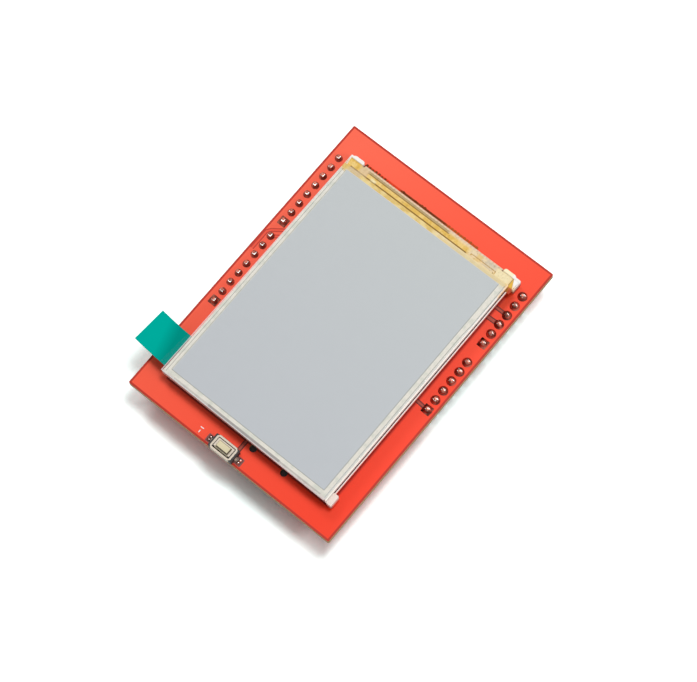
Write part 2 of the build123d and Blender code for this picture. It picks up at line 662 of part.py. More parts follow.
def ledge_tape():
    """Amber tape across the head of the module, from wall to wall over the flex."""
    bottom = DISPLAY_BACK + FRAME_HEIGHT
    foot = LEDGE_TAPE_HEAD_Y - LEDGE_TAPE_WIDTH
    tape = slab(LEDGE_TAPE_LEFT, LEDGE_TAPE_RIGHT, foot, LEDGE_TAPE_HEAD_Y, bottom, LEDGE_TAPE_THICKNESS)
    gap_head = TOUCH_TAIL_REACH + TOUCH_TAIL_FOOT + FIT
    tail_gap = Box(TOUCH_TAIL_WIDTH + 4 * FIT, 2 * gap_head, TOUCH_GLASS_THICKNESS)
    return tape - Pos(TOUCH_TAIL_X, TOUCH_HEAD_Y, bottom) * tail_gap


# Touch panel
def touch_tape():
    """Adhesive along three sides of the panel, open at the head."""
    bottom = FRONT_POLARISER_TOP
    outer = middle_slab(TOUCH_WIDTH, TOUCH_FOOT_Y, FILTER_HEAD_Y, bottom, TOUCH_TAPE_THICKNESS)
    window = middle_slab(
        TOUCH_WIDTH - 2 * TOUCH_BORDER,
        TOUCH_FOOT_Y + TOUCH_BORDER,
        FILTER_HEAD_Y + TOUCH_BORDER,
        bottom,
        TOUCH_TAPE_THICKNESS,
    )
    return outer - window


def touch_layer(bottom, thickness):
    return middle_slab(TOUCH_WIDTH, TOUCH_FOOT_Y, TOUCH_HEAD_Y, bottom, thickness)


def touch_spacer():
    """Thin ring that holds the touch film off the glass, with a gap for the tail's bond."""
    window = middle_slab(
        TOUCH_WIDTH - 2 * TOUCH_BORDER,
        TOUCH_FOOT_Y + TOUCH_BORDER,
        TOUCH_HEAD_Y - TOUCH_HEAD_BORDER,
        SPACER_BACK,
        TOUCH_SPACER_THICKNESS,
    )
    gap = Box(TOUCH_TAIL_WIDTH + 2 * FIT, 2 * TOUCH_TAIL_BOND + 2 * FIT, TOUCH_GLASS_THICKNESS)
    ring = touch_layer(SPACER_BACK, TOUCH_SPACER_THICKNESS) - window
    return ring - Pos(TOUCH_TAIL_X, TOUCH_HEAD_Y, SPACER_BACK) * gap


def touch_flex():
    """Four-track tail, bonded between film and glass, that drops onto the display flex."""
    half = TOUCH_SPACER_THICKNESS / 2
    top = SPACER_BACK + half
    bottom = LEDGE_LEVEL + FLEX_THICKNESS + half
    drop_y = TOUCH_HEAD_Y + TOUCH_TAIL_REACH
    path = FilletPolyline(
        (TOUCH_HEAD_Y - TOUCH_TAIL_BOND, top),
        (drop_y, top),
        (drop_y, bottom),
        (drop_y + TOUCH_TAIL_FOOT, bottom),
        radius=TOUCH_TAIL_BEND,
    )
    profile = Plane.YZ * trace(path, TOUCH_SPACER_THICKNESS)
    return Pos(TOUCH_TAIL_X, 0, 0) * extrude(profile, TOUCH_TAIL_WIDTH / 2, both=True)


def protective_film():
    """Clear film laid on slightly askew, with a short ear where the pull tab is stuck."""
    middle = (TOUCH_FOOT_Y + TOUCH_HEAD_Y) / 2
    length = TOUCH_HEAD_Y - TOUCH_FOOT_Y
    sheet = Rectangle(TOUCH_WIDTH - 2 * FILM_TRIM, length - 2 * FILM_TRIM)
    sheet = Pos(FILM_SHIFT_X, middle + FILM_SHIFT_Y) * Rot(0, 0, FILM_TURN) * sheet
    ear = Rot(0, 0, TAB_TURN) * Rectangle(2 * TAB_EAR_REACH, TAB_WIDTH)
    ear = Pos(FILM_EDGE_X, TAB_Y) * ear
    return Pos(0, 0, FILM_BACK) * extrude(sheet + ear, FILM_THICKNESS)


def pull_tab():
    """Stiff coloured film under the ear of the protective film, sagging a little in its middle."""
    half = TAB_THICKNESS / 2
    lap = Line((TAB_LAP, -half), (0, -half))
    curve = ThreePointArc((0, -half), (-TAB_LENGTH / 2, -half - TAB_SAG), (-TAB_LENGTH, -half))
    profile = Plane.XZ * trace([lap, curve], TAB_THICKNESS)
    tab = Rot(0, 0, TAB_TURN) * extrude(profile, TAB_WIDTH / 2, both=True)
    return Pos(FILM_EDGE_X - TAB_EAR_REACH, TAB_Y, FILM_BACK) * tab


# Memory card socket, drawn with its depth below the board as +Z and then turned over
def under_board(piece):
    """Turns a piece that was drawn upwards from a surface, so that it hangs from the board."""
    return Pos(0, 0, BOARD_UNDERSIDE) * mirror(piece, Plane.XY)


def peg_centres():
    return [SOCKET_X - PEG_SPACING / 2, SOCKET_X + PEG_SPACING / 2]


def card_socket_shell():
    """Folded steel shell, open at the mouth, with a soldering foot at each corner."""
    left = SOCKET_X - SOCKET_WIDTH / 2
    right = SOCKET_X + SOCKET_WIDTH / 2
    back = SOCKET_MOUTH_Y + SOCKET_LENGTH
    shell = slab(left, right, SOCKET_MOUTH_Y, back, 0, SOCKET_HEIGHT)
    shell = fillet(shell.faces().sort_by(Axis.Z)[-1].edges().filter_by(Axis.Y), SOCKET_SHEET)
    shell -= slab(
        left + SOCKET_SHEET,
        right - SOCKET_SHEET,
        SOCKET_MOUTH_Y - SOCKET_SHEET,
        back + SOCKET_SHEET,
        -SOCKET_SHEET,
        SOCKET_HEIGHT,
    )
    thumb = Cylinder(THUMB_NOTCH_RADIUS, 4 * SOCKET_HEIGHT)
    shell -= Pos(SOCKET_X, SOCKET_MOUTH_Y - THUMB_NOTCH_RADIUS + THUMB_NOTCH_DEPTH, 0) * thumb
    for side in (-1, 1):
        for foot in (SOCKET_MOUTH_Y + SOCKET_FOOT_LENGTH, back - SOCKET_FOOT_LENGTH):
            x = SOCKET_X + side * (SOCKET_WIDTH + SOCKET_FOOT_REACH) / 2
            shell += Pos(x, foot, 0) * Box(
                SOCKET_FOOT_REACH, SOCKET_FOOT_LENGTH, SOCKET_SHEET, align=UPWARD
            )
    return under_board(shell)


def card_socket_base():
    """Moulded base: a floor with two pegs, side rails and a back wall that stop the card."""
    left = SOCKET_X - SOCKET_WIDTH / 2 + SOCKET_SHEET
    right = SOCKET_X + SOCKET_WIDTH / 2 - SOCKET_SHEET
    back = SOCKET_MOUTH_Y + SOCKET_LENGTH
    inside = SOCKET_HEIGHT - SOCKET_SHEET
    base = slab(left, right, SOCKET_MOUTH_Y, back, 0, inside)
    card_left = SOCKET_X - CARD_WIDTH / 2
    card_right = SOCKET_X + CARD_WIDTH / 2
    root = back - SOCKET_BACK
    base -= slab(card_left, card_right, SOCKET_MOUTH_Y - FIT, root, SOCKET_FLOOR, SOCKET_HEIGHT)
    base -= slab(
        card_left + CONTACT_WELL_MARGIN,
        card_right - CONTACT_WELL_MARGIN,
        root - CONTACT_LENGTH,
        root,
        -SOCKET_FLOOR,
        3 * SOCKET_FLOOR,
    )
    for x in contact_centres():
        base -= slab(
            x - CONTACT_WIDTH / 2,
            x + CONTACT_WIDTH / 2,
            root,
            back,
            0,
            CONTACT_SHEET,
        )
    peg = Cylinder(PEG_DIAMETER / 2, PEG_DEPTH, align=(Align.CENTER, Align.CENTER, Align.MAX))
    base += [Pos(x, PEG_Y, 0) * peg for x in peg_centres()]
    return under_board(base)


def contact_centres():
    first = SOCKET_X - (CONTACT_COUNT - 1) * CONTACT_PITCH / 2
    return [first + i * CONTACT_PITCH for i in range(CONTACT_COUNT)]


def card_socket_contacts():
    """Spring contacts: a tail on the board, then a tongue that rises into the card's space."""
    back = SOCKET_MOUTH_Y + SOCKET_LENGTH
    mid = CONTACT_SHEET / 2
    root = back - SOCKET_BACK
    tip = root - CONTACT_LENGTH + CONTACT_TIP_LENGTH
    path = Polyline(
        (back + CONTACT_TAIL, mid),
        (root, mid),
        (tip + CONTACT_TIP_LENGTH, mid + CONTACT_RISE),
        (tip, mid + CONTACT_RISE - CONTACT_TIP_DROP),
    )
    profile = Plane.YZ * trace(path, CONTACT_SHEET)
    contact = extrude(profile, CONTACT_WIDTH / 2, both=True)
    return under_board(group(Pos(x, 0, 0) * contact for x in contact_centres()))


# Chips and small parts under the board
def moulded_body(length, width, height):
    """A chip's body with drafted sides, wide at the level where its leads come out."""
    half = (height - CHIP_STANDOFF) / 2
    outline = Rectangle(length, width)
    upper = extrude(outline, half, taper=CHIP_DRAFT)
    lower = mirror(upper, Plane.XY)
    return Pos(0, 0, CHIP_STANDOFF + half) * (upper + lower)


def gull_lead(body_width, height, span, width):
    """A lead that leaves the body at mid height, drops, and ends in a flat foot."""
    mid = LEAD_SHEET / 2
    exit_x = body_width / 2
    exit_z = CHIP_STANDOFF + (height - CHIP_STANDOFF) / 2
    reach = (span - body_width) / 2
    knee = exit_x + reach * LEAD_KNEE
    heel = exit_x + reach * LEAD_HEEL
    points = [(exit_x, exit_z), (knee, exit_z), (heel, mid), (span / 2, mid)]
    return bent_strip(points, LEAD_SHEET, width)


def at_regulator(piece):
    return under_board(Pos(REGULATOR_X, REGULATOR_Y, 0) * piece)


def regulator_body():
    body = moulded_body(REGULATOR_WIDTH, REGULATOR_LENGTH, REGULATOR_HEIGHT)
    return at_regulator(body)


def regulator_leads():
    """Three leads on one side and the wide tab on the other."""
    args = (REGULATOR_WIDTH, REGULATOR_HEIGHT, REGULATOR_SPAN)
    lead = gull_lead(*args, REGULATOR_LEAD_WIDTH)
    leads = [Pos(0, i * REGULATOR_LEAD_PITCH, 0) * lead for i in (-1, 0, 1)]
    tab = Rot(0, 0, 180) * gull_lead(*args, REGULATOR_TAB_WIDTH)
    return at_regulator(group(leads + [tab]))


def at_buffers(piece):
    """The two buffer chips stand side by side, one each side of the middle line."""
    places = [Pos(side * BUFFER_X, BUFFER_Y, 0) * piece for side in (-1, 1)]
    return group(under_board(place) for place in places)


def buffer_chips():
    """Two chip bodies, each with a round mark at the first lead."""
    body = moulded_body(BUFFER_WIDTH, BUFFER_LENGTH, BUFFER_HEIGHT)
    mark = Cylinder(CHIP_MARK_RADIUS, 2 * CHIP_MARK_DEPTH)
    mark_x = CHIP_MARK_INSET - BUFFER_WIDTH / 2
    mark_y = BUFFER_LENGTH / 2 - CHIP_MARK_INSET
    return at_buffers(body - Pos(mark_x, mark_y, BUFFER_HEIGHT) * mark)


def buffer_leads():
    lead = gull_lead(BUFFER_WIDTH, BUFFER_HEIGHT, BUFFER_SPAN, BUFFER_LEAD_WIDTH)
    first = -(BUFFER_LEADS_A_SIDE - 1) * BUFFER_LEAD_PITCH / 2
    rows = []
    for side in (-1, 1):
        for chip_side in (0, 180):
            for i in range(BUFFER_LEADS_A_SIDE):
                place = Pos(side * BUFFER_X, BUFFER_Y + first + i * BUFFER_LEAD_PITCH, 0)
                rows.append(under_board(place * Rot(0, 0, chip_side) * lead))
    return group(rows)


def capacitor_places():
    """Two capacitors beside the regulator and one at the head end of each buffer chip."""
    beside = REGULATOR_LENGTH / 2 + 2 * CAP_WIDTH
    above = BUFFER_Y + BUFFER_LENGTH / 2 + 2 * CAP_WIDTH
    return [
        (REGULATOR_X, REGULATOR_Y - beside),
        (REGULATOR_X, REGULATOR_Y + beside),
        (-BUFFER_X, above),
        (BUFFER_X, above),
    ]


def resistor_places():
    """A row of resistors behind the card socket, where its signal lines run."""
    first = SOCKET_X - (RESISTOR_COUNT - 1) * RESISTOR_PITCH / 2
    y = SOCKET_MOUTH_Y + SOCKET_LENGTH + CONTACT_TAIL + 2 * RESISTOR_LENGTH
    return [(first + i * RESISTOR_PITCH, y) for i in range(RESISTOR_COUNT)]


def ceramic_capacitors():
    body = Box(CAP_LENGTH - 2 * END_CAP, CAP_WIDTH, CAP_HEIGHT, align=UPWARD)
    return under_board(group(Pos(x, y, 0) * body for x, y in capacitor_places()))


def chip_resistors():
    body = Box(RESISTOR_WIDTH, RESISTOR_LENGTH - 2 * END_CAP, RESISTOR_HEIGHT, align=UPWARD)
    return under_board(group(Pos(x, y, 0) * body for x, y in resistor_places()))


def end_caps():
    """Metal ends of the capacitors and the resistors."""
    caps = []
    across = (CAP_LENGTH - END_CAP) / 2
    along = (RESISTOR_LENGTH - END_CAP) / 2
    for side in (-1, 1):
        cap = Box(END_CAP, CAP_WIDTH, CAP_HEIGHT, align=UPWARD)
        caps += [Pos(x + side * across, y, 0) * cap for x, y in capacitor_places()]
        cap = Box(RESISTOR_WIDTH, END_CAP, RESISTOR_HEIGHT, align=UPWARD)
        caps += [Pos(x, y + side * along, 0) * cap for x, y in resistor_places()]
    return under_board(group(caps))


PIECES = {
    "circuit_board": circuit_board(),
    "switch_base": switch_base(),
    "switch_dome": switch_dome(),
    "switch_button": switch_button(),
    "switch_cover": switch_cover(),
    "switch_terminals": switch_terminals(),
    "switch_solder": switch_solder(),
    "mounting_tape": mounting_tape(),
    "backlight_frame": backlight_frame(),
    "reflector_sheet": reflector_sheet(),
    "light_guide": light_guide(),
    "backlight_leds": backlight_leds(),
    "led_strip_flex": led_strip_flex(),
    "diffuser_sheet": backlight_sheet(DIFFUSER_BACK, DIFFUSER_THICKNESS),
    "lower_prism_sheet": backlight_sheet(LOWER_PRISM_BACK, PRISM_THICKNESS),
    "upper_prism_sheet": backlight_sheet(UPPER_PRISM_BACK, PRISM_THICKNESS),
    "glass_rim_tape": glass_rim_tape(),
    "rear_polariser": polariser(REAR_POLARISER_BACK),
    "tft_glass": tft_glass(),
    "colour_filter_glass": colour_filter_glass(),
    "front_polariser": polariser(FILTER_TOP),
    "driver_chip": driver_chip(),
    "display_flex": display_flex(),
    "flex_solder": flex_solder(),
    "ledge_tape": ledge_tape(),
    "touch_tape": touch_tape(),
    "touch_glass": touch_layer(TOUCH_BACK, TOUCH_GLASS_THICKNESS),
    "touch_spacer": touch_spacer(),
    "touch_film": touch_layer(TOUCH_FILM_BACK, TOUCH_FILM_THICKNESS),
    "touch_flex": touch_flex(),
    "protective_film": protective_film(),
    "pull_tab": pull_tab(),
    "card_socket_shell": card_socket_shell(),
    "card_socket_base": card_socket_base(),
    "card_socket_contacts": card_socket_contacts(),
    "regulator_body": regulator_body(),
    "regulator_leads": regulator_leads(),
    "buffer_chips": buffer_chips(),
    "buffer_leads": buffer_leads(),
    "ceramic_capacitors": ceramic_capacitors(),
    "chip_resistors": chip_resistors(),
    "end_caps": end_caps(),
}
for header, places in HEADERS.items():
    PIECES[header + "_strip"] = header_strip(places)
    PIECES[header + "_pins"] = header_pins(places)
    PIECES[header + "_solder"] = header_solder(places)

os.makedirs("parts", exist_ok=True)
for name, piece in PIECES.items():
    export_step(piece, "parts/" + name + ".step")
print(len(PIECES), "pieces written")
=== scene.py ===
# %% [markdown]
# # A colour display module with a touch panel
#
# The solid model is already packed: every piece of the module is there at its real size, in
# metres, with +Z out of the screen. This file dresses it. It gives each piece its finish, adds the
# fine things that were too small for the solids, and sets the camera, the lamps and the floor.

# %% Load the solid model
import bpy
import bmesh
import math
import random
from mathutils import Matrix, Vector


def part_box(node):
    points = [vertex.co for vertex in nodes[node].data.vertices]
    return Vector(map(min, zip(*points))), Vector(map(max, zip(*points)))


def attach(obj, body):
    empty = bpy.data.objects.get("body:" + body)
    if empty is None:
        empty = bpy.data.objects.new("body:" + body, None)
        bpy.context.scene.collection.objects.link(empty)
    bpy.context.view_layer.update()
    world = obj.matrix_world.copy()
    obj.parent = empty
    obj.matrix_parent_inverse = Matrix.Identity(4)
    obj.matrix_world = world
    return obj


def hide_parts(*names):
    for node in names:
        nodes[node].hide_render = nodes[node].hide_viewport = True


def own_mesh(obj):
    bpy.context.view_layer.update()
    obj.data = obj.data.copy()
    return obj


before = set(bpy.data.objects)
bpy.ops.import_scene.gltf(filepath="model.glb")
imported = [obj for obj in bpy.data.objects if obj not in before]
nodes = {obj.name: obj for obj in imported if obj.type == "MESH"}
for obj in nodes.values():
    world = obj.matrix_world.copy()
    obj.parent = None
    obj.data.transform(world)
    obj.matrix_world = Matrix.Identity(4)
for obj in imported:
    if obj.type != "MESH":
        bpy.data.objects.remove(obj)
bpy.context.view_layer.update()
MM = 0.001
print("pieces in the solid model:", len(nodes))

# %% [markdown]
# ## Levels and edges
#
# Nothing here is measured twice. The places that the added pieces need are read from the boxes of
# the solids, so the dressing follows the model. Places on the board are written in millimetres,
# because that is how a board is drawn.

# %% Read the places from the solids
board_low, board_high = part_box("circuit_board")
BOARD_TOP = board_high.z
BOARD_BACK = board_low.z
FILM_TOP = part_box("touch_film")[1].z
tape_low, tape_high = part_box("ledge_tape")
cover_low, cover_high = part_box("switch_cover")
print("board top at", round(BOARD_TOP / MM, 2), "mm, touch film top at", round(FILM_TOP / MM, 2), "mm")

# %% [markdown]
# ## Camera
#
# The photograph looks steeply down on the board, from its foot and its right. A long lens from
# half a metre away keeps the sides nearly parallel. The camera is turned by its three own axes
# instead of by angles, which makes the small roll easy to add.

# %% Place the camera
PHOTO_WIDTH = 697
FOCAL_PIXELS = 2530.5
SENSOR_WIDTH = 36.0
CAMERA_AZIMUTH = math.radians(48.347)
CAMERA_ELEVATION = math.radians(71.755)
CAMERA_ROLL = math.radians(-9.13)
CAMERA_DISTANCE = 509.4 * MM
CAMERA_TARGET = Vector((2.678 * MM, -9.416 * MM, BOARD_TOP))


def place_camera():
    back = Vector(
        (
            math.sin(CAMERA_AZIMUTH) * math.cos(CAMERA_ELEVATION),
            -math.cos(CAMERA_AZIMUTH) * math.cos(CAMERA_ELEVATION),
            math.sin(CAMERA_ELEVATION),
        )
    )
    level = Vector((math.cos(CAMERA_AZIMUTH), math.sin(CAMERA_AZIMUTH), 0))
    upright = back.cross(level)
    right = level * math.cos(CAMERA_ROLL) + upright * math.sin(CAMERA_ROLL)
    up = back.cross(right)
    lens = bpy.data.cameras.new("camera")
    lens.sensor_width = SENSOR_WIDTH
    lens.lens = FOCAL_PIXELS / PHOTO_WIDTH * SENSOR_WIDTH
    lens.clip_start = 0.01
    lens.clip_end = 20
    camera = bpy.data.objects.new("camera", lens)
    turn = Matrix((right, up, back)).transposed().to_4x4()
    camera.matrix_world = Matrix.Translation(CAMERA_TARGET + back * CAMERA_DISTANCE) @ turn
    bpy.context.scene.collection.objects.link(camera)
    bpy.context.scene.camera = camera
    return camera


camera = place_camera()
print("lens in mm:", round(camera.data.lens, 1))

# %% [markdown]
# ## Small tools for node trees
#
# A shader tree is easier to read when each node takes one line. `add` makes a node and fills its
# inputs: a number or a colour is set on the socket itself, and an output of another node is linked.
# `maths`, `spread` and `blend_colours` are the nodes that every finish needs, and `field` places a
# mask for a part of a face, given in millimetres.

# %% Tools for node trees
def empty_tree(owner):
    """The cleared node tree of a material or a world."""
    owner.use_nodes = True
    owner.node_tree.nodes.clear()
    return owner.node_tree


def give(tree, socket, value):
    """Links an output to a socket, or sets a number or a colour on it."""
    if isinstance(value, bpy.types.NodeSocket):
        tree.links.new(value, socket)
    elif socket.type == "RGBA":
        socket.default_value = (*value, 1.0)
    else:
        socket.default_value = value


def add(tree, kind, settings=None, **inputs):
    """Makes one node. Input names are the socket names, with spaces as underscores."""
    node = tree.nodes.new(kind)
    for key, value in (settings or {}).items():
        setattr(node, key, value)
    for key, value in inputs.items():
        give(tree, node.inputs[key.replace("_", " ")], value)
    return node


def maths(tree, operation, first, second=0.0, clamp=False):
    """One Math node; each term is a number or an output."""
    node = add(tree, "ShaderNodeMath", {"operation": operation, "use_clamp": clamp})
    give(tree, node.inputs[0], first)
    give(tree, node.inputs[1], second)
    return node.outputs[0]


def times(tree, first, second):
    return maths(tree, "MULTIPLY", first, second)


def spread(tree, value, low, high, new_low=0.0, new_high=1.0):
    """Stretches the range from low to high over a new range, and holds the value within it."""
    node = add(tree, "ShaderNodeMapRange", Value=value, From_Min=low, From_Max=high)
    give(tree, node.inputs["To Min"], new_low)
    give(tree, node.inputs["To Max"], new_high)
    return node.outputs[0]


def blend_colours(tree, mask, first, second):
    """Mixes two colours: the second shows where the mask is 1."""
    node = add(tree, "ShaderNodeMix", {"data_type": "RGBA"})
    for socket, value in zip((node.inputs[0], node.inputs[6], node.inputs[7]), (mask, first, second)):
        give(tree, socket, value)
    return node.outputs[2]


def dimmed(colour, share):
    return tuple(share * part for part in colour)


def axes_of(tree, vector):
    return add(tree, "ShaderNodeSeparateXYZ", Vector=vector).outputs


def place_on_object(tree):
    """Coordinates in the model's own frame, in metres."""
    return add(tree, "ShaderNodeTexCoord").outputs["Object"]


def new_group(name, inputs, outputs):
    """An empty shader node group. Returns its tree, what it is given and the sockets of its result."""
    tree = bpy.data.node_groups.new(name, "ShaderNodeTree")
    for socket_name, kind in inputs.items():
        tree.interface.new_socket(socket_name, in_out="INPUT", socket_type=kind)
    for socket_name in outputs:
        tree.interface.new_socket(socket_name, in_out="OUTPUT", socket_type=FLOAT)
    print("node group:", name, "from", list(inputs), "to", outputs)
    return tree, tree.nodes.new("NodeGroupInput").outputs, tree.nodes.new("NodeGroupOutput").inputs


def use_group(tree, name, **inputs):
    """Places a shader node group in a material and fills its inputs."""
    return add(tree, "ShaderNodeGroup", {"node_tree": bpy.data.node_groups[name]}, **inputs).outputs


def field(tree, place, across, along, softness):
    """Mask of a field between two X and two Y values, in mm."""
    return use_group(
        tree,
        "rectangle mask",
        Place=place,
        Centre_X=(across[0] + across[1]) / 2 * MM,
        Centre_Y=(along[0] + along[1]) / 2 * MM,
        Half_Width=(across[1] - across[0]) / 2 * MM,
        Half_Length=(along[1] - along[0]) / 2 * MM,
        Softness=softness * MM,
    )["Inside"]


def paint_fields(tree, place, colour, fields):
    """Lays fields over a colour: (X range, Y range, softness, strength, shade), in mm."""
    for across, along, softness, strength, shade in fields:
        mask = times(tree, field(tree, place, across, along, softness), strength)
        colour = blend_colours(tree, mask, colour, shade)
    return colour


def seen_directly(tree):
    """1 where the camera, a mirror or glass looks straight at a surface, 0 for light on its way."""
    path = add(tree, "ShaderNodeLightPath").outputs
    seen = maths(tree, "MAXIMUM", path["Is Camera Ray"], path["Is Glossy Ray"])
    return maths(tree, "MAXIMUM", seen, path["Is Transmission Ray"])


FLOAT = "NodeSocketFloat"
VECTOR = "NodeSocketVector"
print("node tools are ready")

# %% [markdown]
# ## Lamps and world
#
# A white table in soft studio light. The key lamp is nearly overhead, a little towards the head and
# the right, so short shadows fall at the foot. The gloss lamp at the head's left and a low lamp at
# the right put the highlights on each solder joint. The world fills in the rest. Seen straight on,
# or in a reflection, the world is plain white.

# %% Build the lamps and the world
WORLD_FILL = 0.32
LAMP_AIM = (0, -8, 10)
# Name, place and size in mm, watts
LAMPS = [
    ("key lamp", (55, 72, 480), 120, 1.06),
    ("gloss lamp", (-250, 120, 420), 120, 0.42),
    ("side lamp", (320, 40, 360), 90, 0.36),
]


def soft_lamp(name, place, size, watts):
    """A square area lamp that faces the module, given by its place and size in millimetres."""
    light = bpy.data.lights.new(name, "AREA")
    light.size = size * MM
    light.energy = watts
    lamp = bpy.data.objects.new(name, light)
    lamp.location = Vector(place) * MM
    direction = Vector(LAMP_AIM) * MM - lamp.location
    lamp.rotation_euler = direction.to_track_quat("-Z", "Y").to_euler()
    bpy.context.scene.collection.objects.link(lamp)


def build_world():
    world = bpy.data.worlds.new("studio")
    bpy.context.scene.world = world
    tree = empty_tree(world)
    strength = spread(tree, seen_directly(tree), 0.0, 1.0, WORLD_FILL, 1.0)
    background = add(tree, "ShaderNodeBackground", Color=(1, 1, 1), Strength=strength)
    add(tree, "ShaderNodeOutputWorld", Surface=background.outputs[0])


for lamp_row in LAMPS:
    soft_lamp(*lamp_row)
build_world()
bpy.context.scene.view_settings.view_transform = "Standard"

# %% [markdown]
# ## Effects that many finishes share
#
# Five node groups do most of the work. A rectangle mask marks a field on a flat face, such as the
# picture area of the display. Stripes draw copper lines in a flex. Grain gives a surface its fine
# unevenness and its slow drift of tone. The face mask tells a top face from a side wall, and
# scratches draw hairlines on metal. Each is built once and placed in the finishes with its own values.

# %% Group: rectangle mask
def build_rectangle_mask():
    inputs = {"Place": VECTOR}
    for size in ("Centre X", "Centre Y", "Half Width", "Half Length", "Softness"):
        inputs[size] = FLOAT
    tree, given, result = new_group("rectangle mask", inputs, ["Inside"])
    axes = axes_of(tree, given["Place"])
    across = maths(tree, "ABSOLUTE", maths(tree, "SUBTRACT", axes["X"], given["Centre X"]))
    along = maths(tree, "ABSOLUTE", maths(tree, "SUBTRACT", axes["Y"], given["Centre Y"]))
    past_side = maths(tree, "SUBTRACT", across, given["Half Width"])
    past_end = maths(tree, "SUBTRACT", along, given["Half Length"])
    outside = maths(tree, "MAXIMUM", past_side, past_end)
    soft = maths(tree, "DIVIDE", outside, given["Softness"])
    give(tree, result["Inside"], maths(tree, "SUBTRACT", 0.5, soft, clamp=True))


build_rectangle_mask()

# %% [markdown]
# ### Stripes
#
# Copper lines and board layers repeat at an even pitch. The part of a coordinate that is left over
# after whole pitches tells where in its line a point lies, so no picture of stripes is needed.

# %% Group: stripes
def build_stripes():
    inputs = {"Coordinate": FLOAT, "Pitch": FLOAT, "Share": FLOAT}
    tree, given, result = new_group("stripes", inputs, ["Line"])
    part = maths(tree, "FRACT", maths(tree, "DIVIDE", given["Coordinate"], given["Pitch"]))
    give(tree, result["Line"], maths(tree, "LESS_THAN", part, given["Share"]))


build_stripes()

# %% [markdown]
# ### Grain and drift
#
# No real surface is even. A fine noise gives a material its sheen and bump, and a slow one lets its
# tone drift. Both come from one group, so a finish only sets their two scales.

# %% Group: grain and drift
def build_grain():
    """Fine noise for bump and roughness, and a slow one for tone."""
    inputs = {"Place": VECTOR, "Fine Scale": FLOAT, "Slow Scale": FLOAT}
    tree, given, result = new_group("grain", inputs, ["Fine", "Slow"])
    for name, detail in (("Fine", 3.0), ("Slow", 2.0)):
        scale = given[name + " Scale"]
        noise = add(tree, "ShaderNodeTexNoise", Vector=given["Place"], Scale=scale, Detail=detail)
        give(tree, result[name], noise.outputs["Fac"])


build_grain()

# %% [markdown]
# ### Face mask
#
# Boards, glasses and films look one way on their faces and another way on their cut edges. The
# height of the normal tells them apart, so one finish can cover the whole solid.

# %% Group: face mask
def build_face_mask():
    """Flat is 1 on faces that look up or down, Rise is the height of the normal."""
    tree, given, result = new_group("face mask", {"Sharpness": FLOAT}, ["Flat", "Rise"])
    rise = axes_of(tree, add(tree, "ShaderNodeNewGeometry").outputs["Normal"])["Z"]
    give(tree, result["Flat"], maths(tree, "POWER", maths(tree, "ABSOLUTE", rise), given["Sharpness"]))
    give(tree, result["Rise"], rise)


build_face_mask()

# %% [markdown]
# ### Scratches
#
# Rolled sheet shows fine lines in one direction. A noise that is stretched along X passes its middle
# level on long thin curves, and these curves are the lines.

# %% Group: scratches
def build_scratches():
    """Long fine hairlines, where a stretched noise passes a narrow level."""
    inputs = {"Place": VECTOR, "Scale": FLOAT, "Stretch": FLOAT, "Width": FLOAT}
    tree, given, result = new_group("scratches", inputs, ["Mask"])
    axes = axes_of(tree, given["Place"])
    squeezed = maths(tree, "DIVIDE", axes["X"], given["Stretch"])
    place = add(tree, "ShaderNodeCombineXYZ", X=squeezed, Y=axes["Y"], Z=axes["Z"]).outputs["Vector"]
    noise = add(tree, "ShaderNodeTexNoise", Vector=place, Scale=given["Scale"], Detail=2.0)
    level = maths(tree, "ABSOLUTE", maths(tree, "SUBTRACT", noise.outputs["Fac"], 0.5))
    give(tree, result["Mask"], maths(tree, "LESS_THAN", level, given["Width"]))


build_scratches()
print("groups:", [g.name for g in bpy.data.node_groups])

# %% [markdown]
# ## The finish helper
#
# Each finish starts from one Principled shader and a grain of two scales. The numbers that are the
# same all over go straight to the shader's sockets, and `dress` puts the finish on the pieces that
# carry it. `grained` is the plainest whole finish: two tones, a gloss that varies and a fine bump.

# %% Start a finish, put it on pieces
BUMP_DEPTH = 0.02 * MM
SCRATCH_SIZES = {"Scale": 900.0, "Stretch": 9.0, "Width": 0.006}


def new_finish(name, fine_scale, slow_scale, **sockets):
    """Starts a material. Returns it, its tree, the shader's inputs, the place and the grain."""
    made = bpy.data.materials.new(name)
    tree = empty_tree(made)
    shader = add(tree, "ShaderNodeBsdfPrincipled", **sockets)
    add(tree, "ShaderNodeOutputMaterial", Surface=shader.outputs[0])
    place = place_on_object(tree)
    grain = use_group(tree, "grain", Place=place, Fine_Scale=fine_scale, Slow_Scale=slow_scale)
    return made, tree, shader.inputs, place, grain


def add_bump(tree, shader, height, strength, depth=BUMP_DEPTH):
    bump = add(tree, "ShaderNodeBump", Height=height, Strength=strength, Distance=depth)
    give(tree, shader["Normal"], bump.outputs[0])


def dress(finish, *names):
    for name in names:
        node = nodes[name]
        node.data.materials.clear()
        node.data.materials.append(finish)


def grained(name, light, dark, roughness, span, fine_scale, slow_scale, bump, scratched=0.0, **sockets):
    """A finish whose colour drifts between two tones and whose gloss and bump follow a fine grain."""
    made, tree, shader, place, grain = new_finish(name, fine_scale, slow_scale, **sockets)
    colour = blend_colours(tree, grain["Slow"], light, dark)
    if scratched:
        line = use_group(tree, "scratches", Place=place, **SCRATCH_SIZES)["Mask"]
        colour = blend_colours(tree, times(tree, line, scratched), colour, dimmed(dark, 0.55))
    give(tree, shader["Base Color"], colour)
    give(tree, shader["Roughness"], spread(tree, grain["Fine"], 0.0, 1.0, roughness - span, roughness + span))
    add_bump(tree, shader, grain["Fine"], bump)
    return made


print("finish helper is ready")

